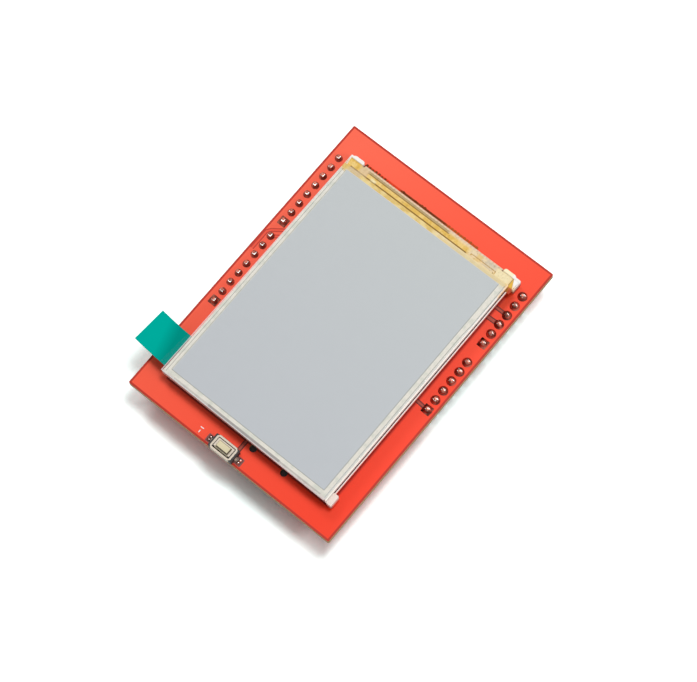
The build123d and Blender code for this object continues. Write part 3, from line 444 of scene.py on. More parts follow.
# %% [markdown]
# ## Floor
#
# The table is a plain white sheet. A photographer exposes such a table past white, so that only the
# deepest part of the shadow is left. Light Path does the same here: where the camera or a mirror
# looks at the sheet it is brighter than any real paper, and the light that it throws back on the
# module is that of plain paper. Under the foot edge a shadow is painted into the sheet's seen colour,
# darker than the lamps alone leave it.

# %% Build the floor
FLOOR_SIZE = 3.0
FLOOR_LEVEL = -0.02 * MM
PAPER = (0.88, 0.88, 0.88)
PAPER_SEEN = (1.42, 1.60, 1.57)
# A shadow painted into the sheet under the board's foot edge
PAINTED_FLOOR_SHADOW = [((-24.5, 24.5), (-44.2, -15.0), 2.6, 0.55, (0.50, 0.46, 0.45))]


def build_floor():
    mesh = bpy.data.meshes.new("table")
    half = FLOOR_SIZE / 2
    corners = [(-half, -half, 0), (half, -half, 0), (half, half, 0), (-half, half, 0)]
    mesh.from_pydata(corners, [], [(0, 1, 2, 3)])
    floor = bpy.data.objects.new("table", mesh)
    floor.location.z = FLOOR_LEVEL
    bpy.context.scene.collection.objects.link(floor)
    made = bpy.data.materials.new("table white")
    tree = empty_tree(made)
    place = place_on_object(tree)
    grain = use_group(tree, "grain", Place=place, Fine_Scale=900.0, Slow_Scale=4.0)
    paper = blend_colours(tree, grain["Slow"], PAPER, dimmed(PAPER, 0.985))
    bright = paint_fields(tree, place, PAPER_SEEN, PAINTED_FLOOR_SHADOW)
    sheet = add(tree, "ShaderNodeBsdfDiffuse", Color=blend_colours(tree, seen_directly(tree), paper, bright))
    add(tree, "ShaderNodeOutputMaterial", Surface=sheet.outputs[0])
    mesh.materials.append(made)
    return floor


floor = build_floor()
print("floor:", floor.name)

# %% [markdown]
# ## Making meshes
#
# The added pieces are drawn straight into bmesh, in the model's frame. `lathe` turns a profile round
# an upright axis, `track` lays a flat strip of even width along a path, and `piece` makes the object,
# lets it ride on the board and gives it its finish. `block` and `strips` make a whole piece of
# one prism or of many strips, and `softened` copies a solid, to reshape or round it.

# %% Tools for meshes
WELD = 0.0005 * MM
FLAT_ANGLE = math.radians(1.5)
SHARP_ANGLE = math.radians(35)


def piece(name, bm, finish, smooth=False):
    """Makes one object from a bmesh, in the model's frame, that rides on the board."""
    bm.normal_update()
    mesh = bpy.data.meshes.new(name)
    bm.to_mesh(mesh)
    bm.free()
    if smooth:
        mesh.polygons.foreach_set("use_smooth", [True] * len(mesh.polygons))
    mesh.materials.append(finish)
    made = bpy.data.objects.new(name, mesh)
    bpy.context.scene.collection.objects.link(made)
    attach(made, "board")
    return made


def bridge(bm, low, high):
    """Faces between two closed rows of points. The upper row may be a single tip."""
    for i in range(len(low)):
        j = (i + 1) % len(low)
        if len(high) == 1:
            bm.faces.new((low[i], low[j], high[0]))
        else:
            bm.faces.new((low[i], low[j], high[j], high[i]))


def lathe(bm, centre, profile, sides, wobble, lean=(0, 0)):
    """Turns a profile of (radius, height) pairs, in mm, round an upright axis, up to its tip.

    The axis may lean: the top is moved by lean, in mm, and the foot stays where it is.
    """
    rows = []
    for radius, height in profile:
        share = (height / profile[-1][1]) ** 2 * MM
        x = centre[0] + lean[0] * share
        y = centre[1] + lean[1] * share
        row = []
        for i in range(sides if radius else 1):
            angle = 2 * math.pi * i / sides
            reach = radius * wobble(angle) * MM
            place = (x + reach * math.cos(angle), y + reach * math.sin(angle), centre[2] + height * MM)
            row.append(bm.verts.new(place))
        rows.append(row)
    for low, high in zip(rows, rows[1:]):
        bridge(bm, low, high)
    bm.faces.new(list(reversed(rows[0])))


def prism(bm, outline, low, high):
    """An upright prism over an outline of (x, y) points in mm, between two heights in metres."""
    bottom, top = [[bm.verts.new((x * MM, y * MM, z)) for x, y in outline] for z in (low, high)]
    bridge(bm, bottom, top)
    bm.faces.new(top)
    bm.faces.new(list(reversed(bottom)))


def offset_path(points, distance):
    """The path moved sideways by a distance, with its corners mitred."""
    moved = []
    for i, (x, y) in enumerate(points):
        before = points[max(i - 1, 0)]
        after = points[min(i + 1, len(points) - 1)]
        first = Vector((x - before[0], y - before[1]))
        second = Vector((after[0] - x, after[1] - y))
        if first.length == 0:
            first = second
        if second.length == 0:
            second = first
        sides = [Vector((-d.y, d.x)).normalized() for d in (first, second)]
        middle = (sides[0] + sides[1]).normalized()
        reach = distance / max(middle.dot(sides[0]), 0.3)
        moved.append((x + middle.x * reach, y + middle.y * reach))
    return moved


def track(bm, points, width, low, high):
    """A flat strip of even width along a path in mm, between two heights in metres."""
    left = offset_path(points, width / 2)
    right = offset_path(points, -width / 2)
    prism(bm, right + list(reversed(left)), low, high)


def rounded_rectangle(centre_x, centre_y, width, length, radius, steps=4):
    """Corner points of a rectangle with round corners, in mm, anticlockwise."""
    outline = []
    corners = [(1, 1, 0), (-1, 1, 90), (-1, -1, 180), (1, -1, 270)]
    for side_x, side_y, start in corners:
        x = centre_x + side_x * (width / 2 - radius)
        y = centre_y + side_y * (length / 2 - radius)
        for i in range(steps + 1):
            angle = math.radians(start + 90 * i / steps)
            outline.append((x + radius * math.cos(angle), y + radius * math.sin(angle)))
    return outline


def block(name, outline, low, high, finish):
    """A piece made of one upright prism."""
    bm = bmesh.new()
    prism(bm, outline, low, high)
    return piece(name, bm, finish)


def strips(name, paths, low, high, finish, slot="red_board"):
    """A piece made of flat strips, each given as (width, points)."""
    bm = bmesh.new()
    for width, points in paths:
        track(bm, points, width, low, high)
    return piece(name, bm, finish)


def box_outline(left, foot, right, head):
    return [(left, foot), (right, foot), (right, head), (left, head)]


def round_edges(bm, edges, radius, steps=3):
    bmesh.ops.bevel(bm, geom=edges, offset=radius * MM, segments=steps, profile=0.5, affect="EDGES")


def edges_above(bm, level):
    return [edge for edge in bm.edges if min(vert.co.z for vert in edge.verts) > level]


def softened(name, finish, reshape=None, radius=0.0, lowest=0.0):
    """A copy that stands for a solid, reshaped, with sharp upper edges rounded if a radius is given."""
    bm = bmesh.new()
    bm.from_mesh(nodes[name].data)
    bmesh.ops.remove_doubles(bm, verts=bm.verts, dist=WELD)
    bmesh.ops.dissolve_limit(bm, angle_limit=FLAT_ANGLE, verts=bm.verts, edges=bm.edges)
    if reshape:
        reshape(bm)
    if radius:
        upper = [edge for edge in edges_above(bm, lowest) if len(edge.link_faces) == 2]
        round_edges(bm, [edge for edge in upper if edge.calc_face_angle(0) > SHARP_ANGLE], radius)
    copy = piece(name + "_soft", bm, finish)
    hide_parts(name)
    return copy


print("mesh tools are ready")

# %% [markdown]
# ## Circuit board
#
# A red solder mask covers the copper on both faces. Where there is no copper under it, such as the
# narrow band along the edges, the mask looks darker. The sawn sides show the fibre board itself, in
# thin layers. One finish does all three, with the rectangle mask for the band and the face mask for
# the sides. A painted sheen makes the red paler at the head's left corner and deeper towards the
# foot's right one. A soft patch by the tape has a painted reflection of its warm light, and under the
# frame's foot and right side a shadow is painted on the mask.

# %% Finish: solder mask and fibre board
# The red with a painted sheen, at the head's left corner, and without it, towards the foot's right
MASK_RED_WITH_SHEEN = (0.93, 0.132, 0.070)
MASK_RED_WITHOUT_SHEEN = (0.90, 0.040, 0.007)
MASK_BARE = (0.46, 0.026, 0.010)
# A painted reflection of the amber tape's warm light on the board beside it
TAPE_LIGHT_ON_BOARD = (0.60, 0.036, 0.002)
# Painted shadows on the mask under the frame's foot and beside its right wall
SHADOW_UNDER_FRAME = (0.14, 0.012, 0.008)
SHADOW_BESIDE_FRAME = (0.33, 0.012, 0.008)
# Painted light on the top face: the tape's warm reflection, and shadows under and beside the frame
PAINTED_LIGHT_ON_TOP = [
    ((21.2, 23.0), (14.5, 18.7), 0.8, 0.9, TAPE_LIGHT_ON_BOARD),
    ((-20.85, 21.55), (-38.45, -35.35), 0.35, 0.85, SHADOW_UNDER_FRAME),
    ((19.55, 21.65), (-38.0, 18.0), 0.5, 0.8, SHADOW_BESIDE_FRAME),
]
# Slope along which the painted sheen fades, from the head's left to the foot's right
SHEEN_FADE_X = 1.3
SHEEN_FADE_Y = -0.6
SHEEN_FADE_RANGE = (-44, 58)
FIBRE_LIGHT = (0.46, 0.30, 0.15)
FIBRE_DARK = (0.20, 0.085, 0.035)
FIBRE_LAYER = 0.2
COPPER_PULLBACK = 0.45


def board_finish():
    made, tree, shader, place, grain = new_finish("red board", 2600.0, 45.0, Specular_IOR_Level=0.18)
    across = (board_low.x / MM + COPPER_PULLBACK, board_high.x / MM - COPPER_PULLBACK)
    along = (board_low.y / MM + COPPER_PULLBACK, board_high.y / MM - COPPER_PULLBACK)
    poured = field(tree, place, across, along, 0.08)
    axes = axes_of(tree, place)
    slope = maths(tree, "ADD", times(tree, axes["X"], SHEEN_FADE_X), times(tree, axes["Y"], SHEEN_FADE_Y))
    painted_sheen_fade = spread(tree, slope, SHEEN_FADE_RANGE[0] * MM, SHEEN_FADE_RANGE[1] * MM)
    sheen_fade_and_drift = maths(tree, "ADD", painted_sheen_fade, times(tree, grain["Slow"], 0.08), clamp=True)
    face = blend_colours(tree, poured, MASK_BARE, blend_colours(tree, sheen_fade_and_drift, MASK_RED_WITH_SHEEN, MASK_RED_WITHOUT_SHEEN))
    upward = maths(tree, "MAXIMUM", use_group(tree, "face mask", Sharpness=8.0)["Rise"], 0.0)
    face = blend_colours(tree, upward, face, paint_fields(tree, place, face, PAINTED_LIGHT_ON_TOP))
    layer = use_group(tree, "stripes", Coordinate=axes["Z"], Pitch=FIBRE_LAYER * MM, Share=0.4)["Line"]
    side = blend_colours(tree, times(tree, layer, grain["Fine"]), FIBRE_LIGHT, FIBRE_DARK)
    flat = use_group(tree, "face mask", Sharpness=6.0)["Flat"]
    give(tree, shader["Base Color"], blend_colours(tree, flat, side, face))
    give(tree, shader["Roughness"], spread(tree, flat, 0.0, 1.0, 0.75, 0.40))
    add_bump(tree, shader, grain["Fine"], 0.12, BUMP_DEPTH / 2)
    return made


red_board = board_finish()
dress(red_board, "circuit_board")
print("board finish:", red_board.name)

# %% [markdown]
# ## Tracks on the board
#
# Most of the board is one field of copper. A track is cut free of it by a gap on each side, and the
# gaps show through the mask as dark lines. Each track is therefore a thin raised strip with a darker,
# slightly wider strip beneath it. The paths are short lists of points, read off the photograph.

# %% Build the tracks
PIN_PITCH = 2.54
ROW_X = 24.13
FIRST_PIN_Y = 19.812
GAP_WIDTH = 0.22
GAP_HEIGHT = 0.006
GAP_SUNK = 0.001
TRACK_HEIGHT = 0.012

TOP_TRACKS = [
    (0.50, [(0.2, -41.2), (0.2, -37.5)]),
    (0.46, [(20.8, FIRST_PIN_Y - 2 * PIN_PITCH), (ROW_X, FIRST_PIN_Y - 2 * PIN_PITCH)]),
    (0.62, [(20.8, FIRST_PIN_Y - 3 * PIN_PITCH - 0.1), (ROW_X, FIRST_PIN_Y - 3 * PIN_PITCH)]),
    (0.46, [(20.8, -10.45), (ROW_X, -10.67)]),
]
FAINT_TRACKS = [
    (0.40, [(-21.9, 1.0), (-23.0, 0.5), (-24.9, -0.9), (-25.5, -1.7), (-25.5, -6.4)]),
    (0.40, [(-21.9, -0.6), (-22.8, -1.1), (-ROW_X, -2.03)]),
]
TRACK_MASKS = {
    "tracks": ((0.42, 0.080, 0.050), (0.36, 0.066, 0.042)),
    "gaps": ((0.13, 0.012, 0.008), (0.09, 0.009, 0.006)),
    "faint gaps": ((0.54, 0.040, 0.020), (0.47, 0.034, 0.016)),
    "faint tracks": ((0.88, 0.090, 0.045), (0.82, 0.078, 0.036)),
    "back tracks": ((0.92, 0.19, 0.11), (0.86, 0.16, 0.09)),
}


def mask_over(part):
    tones = TRACK_MASKS[part]
    return grained("mask over " + part, *tones, 0.36, 0.06, 2600.0, 60.0, 0.1, Specular_IOR_Level=0.18)


mask = {part: mask_over(part) for part in TRACK_MASKS}


def lay_tracks(name, gap_name, paths, track_mask, gap_mask, face, outward):
    """Tracks over their gaps on one face of the board. Outward is 1 on the top and -1 on the back."""
    wider = [(width + 2 * GAP_WIDTH, points) for width, points in paths]
    sunk = face - outward * GAP_SUNK * MM
    gap_levels = sorted((sunk, face + outward * GAP_HEIGHT * MM))
    strips(gap_name, wider, *gap_levels, gap_mask)
    levels = sorted((face, face + outward * TRACK_HEIGHT * MM))
    return strips(name, paths, *levels, track_mask)


top_masks = (mask["tracks"], mask["gaps"])
tracks = lay_tracks("board_tracks", "board_tracks_gaps", TOP_TRACKS, *top_masks, BOARD_TOP, 1)
faint_masks = (mask["faint tracks"], mask["faint gaps"])
faint = lay_tracks("faint_tracks", "faint_tracks_gaps", FAINT_TRACKS, *faint_masks, BOARD_TOP, 1)
print("track faces:", len(tracks.data.polygons) + len(faint.data.polygons))

# %% [markdown]
# ## Solder joints
#
# On the real board each pin stands in a pool of solder that climbs it in a hollow curve and nearly
# covers its end. The solids only hold plain cones, so these joints are turned from a profile with
# that curve, a little out of round and leaning, and they replace the cones. Their brown is partly
# flux and partly a painted reflection of the red board and the dark room round them. The cut end of
# the pin, still bright, catches the lamps as a small bead near the top.

# %% Finish: solder
# Brown of flux, with a painted reflection of the red board and the dark room in it
FLUX_AND_REFLECTION_BROWN = (0.42, 0.145, 0.105)
FLUX_AND_REFLECTION_DARK = (0.115, 0.040, 0.030)
LEFT_FLUX_AND_REFLECTION_BROWN = (0.46, 0.15, 0.105)
LEFT_FLUX_AND_REFLECTION_DARK = (0.22, 0.066, 0.048)
BRIGHT = (0.93, 0.84, 0.80)
BRIGHT_DARK = (0.74, 0.62, 0.58)


def solder_finish(name, light, dark, roughness):
    made, tree, shader, place, grain = new_finish(name, 2200.0, 1100.0, Metallic=1.0)
    blotch = spread(tree, grain["Slow"], 0.40, 0.60)
    give(tree, shader["Base Color"], blend_colours(tree, blotch, light, dark))
    rough = spread(tree, grain["Fine"], 0.0, 1.0, roughness - 0.06, roughness + 0.08)
    give(tree, shader["Roughness"], rough)
    add_bump(tree, shader, grain["Fine"], 0.3)
    return made


solder = solder_finish("solder with flux and painted reflection", FLUX_AND_REFLECTION_BROWN, FLUX_AND_REFLECTION_DARK, 0.35)
left_solder = solder_finish("left solder with flux and painted reflection", LEFT_FLUX_AND_REFLECTION_BROWN, LEFT_FLUX_AND_REFLECTION_DARK, 0.60)
bright_solder = solder_finish("bright solder", BRIGHT, BRIGHT_DARK, 0.20)
print("solder finishes:", solder.name, left_solder.name, bright_solder.name)

# %% [markdown]
# ## Beads
#
# The bright spots on solder are small smooth bumps that mirror the lamps. A flattened sphere is the
# simplest shape that does so from every side, and one tool makes them all.

# %% Tool: small beads
def bead(bm, centre, half_sizes, angle):
    """A small egg, turned about the upright axis. Sizes in mm, angle in degrees."""
    place = Matrix.Translation(centre) @ Matrix.Rotation(math.radians(angle), 4, "Z")
    size = Matrix.Diagonal((*[s * MM for s in half_sizes], 1.0))
    bmesh.ops.create_uvsphere(bm, u_segments=14, v_segments=8, radius=1.0, matrix=place @ size)


print("beads are ready")

# %% [markdown]
# ## Joints of the headers
#
# All joints of a header share one profile, one lean and one bead. Seeded random numbers move each of
# them a little, because no two joints made by hand are alike. The pad at the foot end of each header
# is square, and the others are round.

# %% Build the header joints
JOINT_PROFILE = [(1.00, 0.0), (1.00, 0.03), (0.95, 0.07), (0.86, 0.17), (0.78, 0.33), (0.72, 0.52)]
JOINT_PROFILE += [(0.66, 0.70), (0.58, 0.86), (0.46, 0.98), (0.31, 1.05), (0.16, 1.08), (0.0, 1.09)]
JOINT_SIDES = 24
JOINT_WOBBLE = 0.035
# Coat, width, lean, then the bead's place, half sizes and angle
JOINT_LOOKS = {
    "left": (left_solder, 0.84, (-0.10, 0.12), (-0.06, 0.20, 1.0), (0.045, 0.12, 0.05), 34),
    "right": (solder, 1.03, (0.05, 0.08), (0.25, 0.15, 1.0), (0.40, 0.13, 0.12), -10),
}
SQUARE_PAD = 1.98
SQUARE_PAD_HEIGHT = 0.045
HALF_PIN = 0.32
PLACE_SPREAD = 0.06
TURN_SPREAD = 14
draw = random.Random(7)


def joint_wobble(amount):
    """A small, seeded departure from round."""
    first = draw.uniform(0, 2 * math.pi)
    second = draw.uniform(0, 2 * math.pi)
    return lambda angle: 1 + amount * (math.sin(angle + first) + 0.5 * math.sin(3 * angle + second))


def moved_a_little(place):
    """A place or a lean in the plane, with a small seeded departure."""
    return [part + draw.uniform(-PLACE_SPREAD, PLACE_SPREAD) for part in place[:2]]


def build_header_joints(header, coat, width, lean, bead_place, bead_sizes, bead_angle):
    """One joint for each pin of a header, and the bright bead of its cut end."""
    low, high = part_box(header + "_pins")
    x = (low.x + high.x) / 2
    first = high.y - HALF_PIN * MM
    count = round((high.y - low.y) / (PIN_PITCH * MM)) + 1
    joints = bmesh.new()
    beads = bmesh.new()
    profile = [(radius * width, height) for radius, height in JOINT_PROFILE]
    for i in range(count):
        y = first - i * PIN_PITCH * MM
        own_lean = moved_a_little(lean)
        lathe(joints, (x, y, BOARD_TOP), profile, JOINT_SIDES, joint_wobble(JOINT_WOBBLE), own_lean)
        bead_x, bead_y = moved_a_little(bead_place)
        centre = (x + bead_x * MM, y + bead_y * MM, BOARD_TOP + bead_place[2] * MM)
        turn = bead_angle + draw.uniform(-TURN_SPREAD, TURN_SPREAD)
        bead(beads, centre, bead_sizes, turn)
    last_y = first / MM - (count - 1) * PIN_PITCH
    pad = rounded_rectangle(x / MM, last_y, SQUARE_PAD, SQUARE_PAD, 0.12)
    prism(joints, pad, BOARD_TOP, BOARD_TOP + SQUARE_PAD_HEIGHT * MM)
    piece(header + "_beads", beads, bright_solder, smooth=True)
    made = piece(header + "_joints", joints, coat, smooth=True)
    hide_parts(header + "_solder")
    return made


HEADERS = [side + "_header_" + end for side in JOINT_LOOKS for end in ("head", "foot")]
joint_groups = [build_header_joints(header, *JOINT_LOOKS[header.split("_")[0]]) for header in HEADERS]
print("joint faces:", [len(group.data.polygons) for group in joint_groups])

# %% [markdown]
# ## Metals and black plastic
#
# The pins, leads and pressed parts are plated. Real plating is never one mirror: a fine grain breaks
# up the gloss, and rolled sheet shows faint lines. The moulded black parts are satin with a light
# grain.

# %% Finishes: plating, steel, gold, black plastic
METAL = {"Metallic": 1.0}
STEEL_TONES = ((0.37, 0.325, 0.27), (0.30, 0.26, 0.21))
GOLD_TONES = ((0.83, 0.60, 0.25), (0.72, 0.50, 0.20))
BLACK_TONES = ((0.022, 0.020, 0.019), (0.034, 0.031, 0.029))
CHIP_TONES = ((0.028, 0.028, 0.030), (0.042, 0.042, 0.044))
tin = grained("tin plate", (0.74, 0.73, 0.70), (0.60, 0.59, 0.56), 0.30, 0.08, 3000.0, 400.0, 0.15, **METAL)
steel = grained("pressed steel", *STEEL_TONES, 0.35, 0.07, 3500.0, 300.0, 0.10, scratched=0.25, **METAL)
gold = grained("gold plate", *GOLD_TONES, 0.25, 0.06, 3000.0, 500.0, 0.10, **METAL)
black_plastic = grained(
    "black plastic", *BLACK_TONES, 0.55, 0.08, 5000.0, 300.0, 0.25, Specular_IOR_Level=0.3
)
chip_black = grained("moulded chip", *CHIP_TONES, 0.62, 0.08, 7000.0, 250.0, 0.45)
dress(tin, "regulator_leads", "buffer_leads", "end_caps", *[header + "_pins" for header in HEADERS])
dress(steel, "card_socket_shell")
dress(gold, "card_socket_contacts")
dress(black_plastic, "switch_base", "card_socket_base", *[header + "_strip" for header in HEADERS])
dress(chip_black, "regulator_body", "buffer_chips")
print("metal and plastic finishes are on")

# %% [markdown]
# ## Reset switch
#
# The cover is pressed from thin steel: a flat ring with cut corners, a narrow groove, and a raised
# plate with a window for the button. The solid has the same cover with plain slots, so a finer one
# replaces it. The button is cream plastic, with a shade painted on its sides, deep in the window.

# %% Build the switch cover
SWITCH_X = (cover_low.x + cover_high.x) / 2 / MM
SWITCH_Y = (cover_low.y + cover_high.y) / 2 / MM
COVER_SIZE = ((cover_high.x - cover_low.x) / MM, (cover_high.y - cover_low.y) / MM, 0.48)
GROOVE_SIZE = (4.36, 2.36, 0.06)
PLATE_SIZE = (4.08, 1.94, 0.06)
WINDOW_SIZE = (3.08, 1.48, 0.06)
PLATE_SHIFT = 0.10
RING_DEPTH = 0.07
PLATE_FOOT_DEPTH = 0.16


def cut_rectangle(size, shift=0.0):
    """Corner points of a rectangle over the switch, given by length, width and cut corner in mm."""
    return rounded_rectangle(SWITCH_X, SWITCH_Y + shift, *size, steps=1)


def ring(outer, inner, low, high, radius):
    """A flat ring between two outlines with the same number of points, its top edges rounded."""
    bm = bmesh.new()
    rows = []
    for outline, level in ((outer, low), (outer, high), (inner, high), (inner, low)):
        rows.append([bm.verts.new((x * MM, y * MM, level)) for x, y in outline])
    for row, following in zip(rows, rows[1:] + rows[:1]):
        bridge(bm, row, following)
    top = set(rows[1]) | set(rows[2])
    edges = [e for e in bm.edges if e.verts[0] in top and e.verts[1] in top and e.is_manifold]
    round_edges(bm, [e for e in edges if (e.verts[0] in rows[1]) == (e.verts[1] in rows[1])], radius, 2)
    return bm


ring_top = cover_high.z - RING_DEPTH * MM
plate_foot = cover_high.z - PLATE_FOOT_DEPTH * MM
plate = cut_rectangle(PLATE_SIZE, PLATE_SHIFT)
outer_ring = ring(cut_rectangle(COVER_SIZE), cut_rectangle(GROOVE_SIZE), cover_low.z, ring_top, 0.06)
raised_ring = ring(plate, cut_rectangle(WINDOW_SIZE), plate_foot, cover_high.z, 0.04)
raised = piece("switch_cover_plate", raised_ring, steel)
cover = piece("switch_cover_ring", outer_ring, steel)
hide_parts("switch_cover")
print("cover faces:", [len(part.data.polygons) for part in (cover, raised)])

# %% [markdown]
# ## Snap dome
#
# Under the button sits a thin steel dome. Pressed, it flattens, and it springs back when it is let
# go. It can't simply ride on the button, because its rim stays where it is. Here a copy of the solid
# with a mesh of its own stands for it.

# %% Build the snap dome
dome = softened("switch_dome", steel)
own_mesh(dome)

# %% [markdown]
# ## Button
#
# The button is one piece of cream plastic. Its top takes the light, and its sides lie deep in the
# window. The face mask paints a shade on the sides, so they stay dark in any light.

# %% Finish: button
BUTTON_CREAM = (0.70, 0.62, 0.39)
# A shade painted on the button's sides
BUTTON_SIDE_SHADE = (0.10, 0.068, 0.035)


def button_finish():
    made, tree, shader, place, grain = new_finish("cream button", 4000.0, 900.0, Roughness=0.42)
    top = blend_colours(tree, grain["Slow"], BUTTON_CREAM, dimmed(BUTTON_CREAM, 0.86))
    flat = use_group(tree, "face mask", Sharpness=3.0)["Flat"]
    give(tree, shader["Base Color"], blend_colours(tree, flat, BUTTON_SIDE_SHADE, top))
    add_bump(tree, shader, grain["Fine"], 0.2)
    return made


dress(button_finish(), "switch_button")
print("button is dressed")

# %% [markdown]
# ## Terminals of the switch
#
# The switch stands on two bent feet, each on a dark pad with two small mounds of solder. Mounds
# turned from a low profile replace the plain ones of the solid model, and each carries a bright bead
# where the lamp strikes it.

# %% Build the switch's soldered terminals
DULL_TONES = ((0.22, 0.17, 0.14), (0.12, 0.085, 0.065))
pad_dark = grained("pad rim", (0.16, 0.022, 0.014), (0.10, 0.014, 0.010), 0.4, 0.08, 3000.0, 300.0, 0.15)
dull_tin = grained("dull tin", *DULL_TONES, 0.30, 0.08, 3000.0, 900.0, 0.3, **METAL)
dress(dull_tin, "switch_terminals")
TERMINAL_X = 3.72
PAD_LENGTH = 1.7
PAD_WIDTH = 1.75
PAD_HEIGHT = 0.015
MOUND_PROFILE = [(0.42, 0.0), (0.40, 0.1), (0.32, 0.2), (0.18, 0.27), (0.0, 0.29)]
MOUND_OUT = 0.12
MOUND_OFFSETS = (-0.32, 0.34)
MOUND_SIDES = 16
MOUND_WOBBLE = 0.12
MOUND_BEAD = Vector((0.02, 0.05, 0.27)) * MM
MOUND_BEAD_SIZES = (0.20, 0.10, 0.06)


def build_switch_pads():
    pads = bmesh.new()
    mounds = bmesh.new()
    beads = bmesh.new()
    for side in (-1, 1):
        x = SWITCH_X + side * TERMINAL_X
        pad = rounded_rectangle(x, SWITCH_Y, PAD_LENGTH, PAD_WIDTH, 0.1)
        prism(pads, pad, BOARD_TOP, BOARD_TOP + PAD_HEIGHT * MM)
        for offset in MOUND_OFFSETS:
            middle = Vector(((x + side * MOUND_OUT) * MM, (SWITCH_Y + offset) * MM, BOARD_TOP))
            lathe(mounds, middle, MOUND_PROFILE, MOUND_SIDES, joint_wobble(MOUND_WOBBLE))
            bead(beads, middle + MOUND_BEAD, MOUND_BEAD_SIZES, draw.uniform(-60, 60))
    piece("switch_pads", pads, pad_dark)
    piece("switch_solder_beads", beads, bright_solder, smooth=True)
    made = piece("switch_solder_mounds", mounds, solder, smooth=True)
    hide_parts("switch_solder")
    return made


switch_mounds = build_switch_pads()
print("switch at", round(SWITCH_X, 2), round(SWITCH_Y, 2), "mm")
print("mound faces:", len(switch_mounds.data.polygons))

# %% [markdown]
# ## Printed marks
#
# A board carries white ink beside its parts. Here it is two plain strokes beside the switch, two
# hundredths of a millimetre thick.

# %% Build the printed marks
INK_HEIGHT = 0.02
white_ink = grained("white ink", (0.88, 0.86, 0.84), (0.80, 0.77, 0.75), 0.6, 0.05, 3000.0, 500.0, 0.2)
MARK_STROKES = [(0.2, [(-8.9, -41.7), (-8.1, -41.7)]), (0.2, [(-8.5, -42.9), (-8.5, -42.3)])]
marks = strips("printed_marks", MARK_STROKES, BOARD_TOP, BOARD_TOP + INK_HEIGHT * MM, white_ink)
print("mark faces:", len(marks.data.polygons))

# %% [markdown]
# ## Moulded frame, tapes and backlight
#
# The backlight frame is white plastic with a faint warm tone and the soft sheen of a moulding. Its
# posts come out of the mould with round edges, so a softened copy of the solid stands for it. The
# right post's top is yellower, the warm light that the amber tape throws on the frame is painted on
# beside it, and a painted pink reflection of the board lies on the foot's right ear. Low on its walls
# a dark red shade is painted, where the frame faces the board, and the right wall has a painted
# reflection of the board's red. The foam tape under the frame, the adhesive and the loose sheets are
# each a plain finish with its own grain: they show at the edges of the stack.

# %% Finishes: frame, tapes, sheets
FRAME_WHITE = (0.88, 0.845, 0.81)
# Painted shade low on the walls, and a painted reflection of the board's red on the right wall
WALL_SHADE = (0.24, 0.026, 0.016)
WALL_RED_REFLECTION = (0.86, 0.115, 0.065)
SHADE_LEVELS = (12.35, 11.75)
SHADE_STRENGTH = 0.88
RIGHT_WALL = ((21.0, 23.0), (-38.0, 18.0))
# The right post's top is yellower
POST_TOP_YELLOW = (0.88, 0.78, 0.48)
# The warm light that the amber tape throws on the frame, painted in
PAINTED_AMBER_LIGHT = (0.90, 0.56, 0.22)
FRAME_TINTS_AND_PAINTED_LIGHT = [
    ((17.8, 20.5), (20.8, 22.0), 0.4, 0.9, POST_TOP_YELLOW),
    ((20.9, 22.6), (15.6, 19.4), 1.2, 0.9, PAINTED_AMBER_LIGHT),
    ((-22.0, -21.2), (17.2, 20.2), 0.8, 0.5, PAINTED_AMBER_LIGHT),
    # A painted pink reflection of the board on the foot's right ear
    ((20.9, 22.6), (-38.8, -35.6), 0.5, 0.8, (0.82, 0.66, 0.58)),
]


def frame_finish():
    made, tree, shader, place, grain = new_finish("frame white", 2500.0, 90.0, Roughness=0.42)
    colour = blend_colours(tree, grain["Slow"], FRAME_WHITE, dimmed(FRAME_WHITE, 0.95))
    colour = paint_fields(tree, place, colour, FRAME_TINTS_AND_PAINTED_LIGHT)
    low = spread(tree, axes_of(tree, place)["Z"], SHADE_LEVELS[0] * MM, SHADE_LEVELS[1] * MM)
    flat = use_group(tree, "face mask", Sharpness=2.0)["Flat"]
    # Paints the shade and the red reflection low on the walls
    painted_shade_mask = times(tree, maths(tree, "SUBTRACT", 1.0, flat), times(tree, low, SHADE_STRENGTH))
    wall_shade_and_reflection = blend_colours(tree, field(tree, place, *RIGHT_WALL, 0.3), WALL_SHADE, WALL_RED_REFLECTION)
    give(tree, shader["Base Color"], blend_colours(tree, painted_shade_mask, colour, wall_shade_and_reflection))
    add_bump(tree, shader, grain["Fine"], 0.12)
    return made


frame_white = frame_finish()
adhesive = grained(
    "cream adhesive", (0.80, 0.77, 0.70), (0.70, 0.67, 0.60), 0.55, 0.08, 2500.0, 300.0, 0.3
)
silvered = grained(
    "silvered film", (0.88, 0.89, 0.89), (0.82, 0.83, 0.83), 0.12, 0.04, 2000.0, 200.0, 0.05, **METAL
)
# A dark red painted shade for the gap between the panel and the frame's rim
gap_shade = grained("gap shade", (0.085, 0.008, 0.010), (0.060, 0.006, 0.008), 0.7, 0.05, 3000.0, 300.0, 0.2)
# A brighter, pinker white than the frame: a painted highlight on the rim's top edge
lip_highlight = grained("lip highlight", (0.97, 0.84, 0.79), (0.92, 0.78, 0.73), 0.45, 0.05, 2500.0, 90.0, 0.12)
dress(adhesive, "touch_spacer")
dress(silvered, "reflector_sheet")
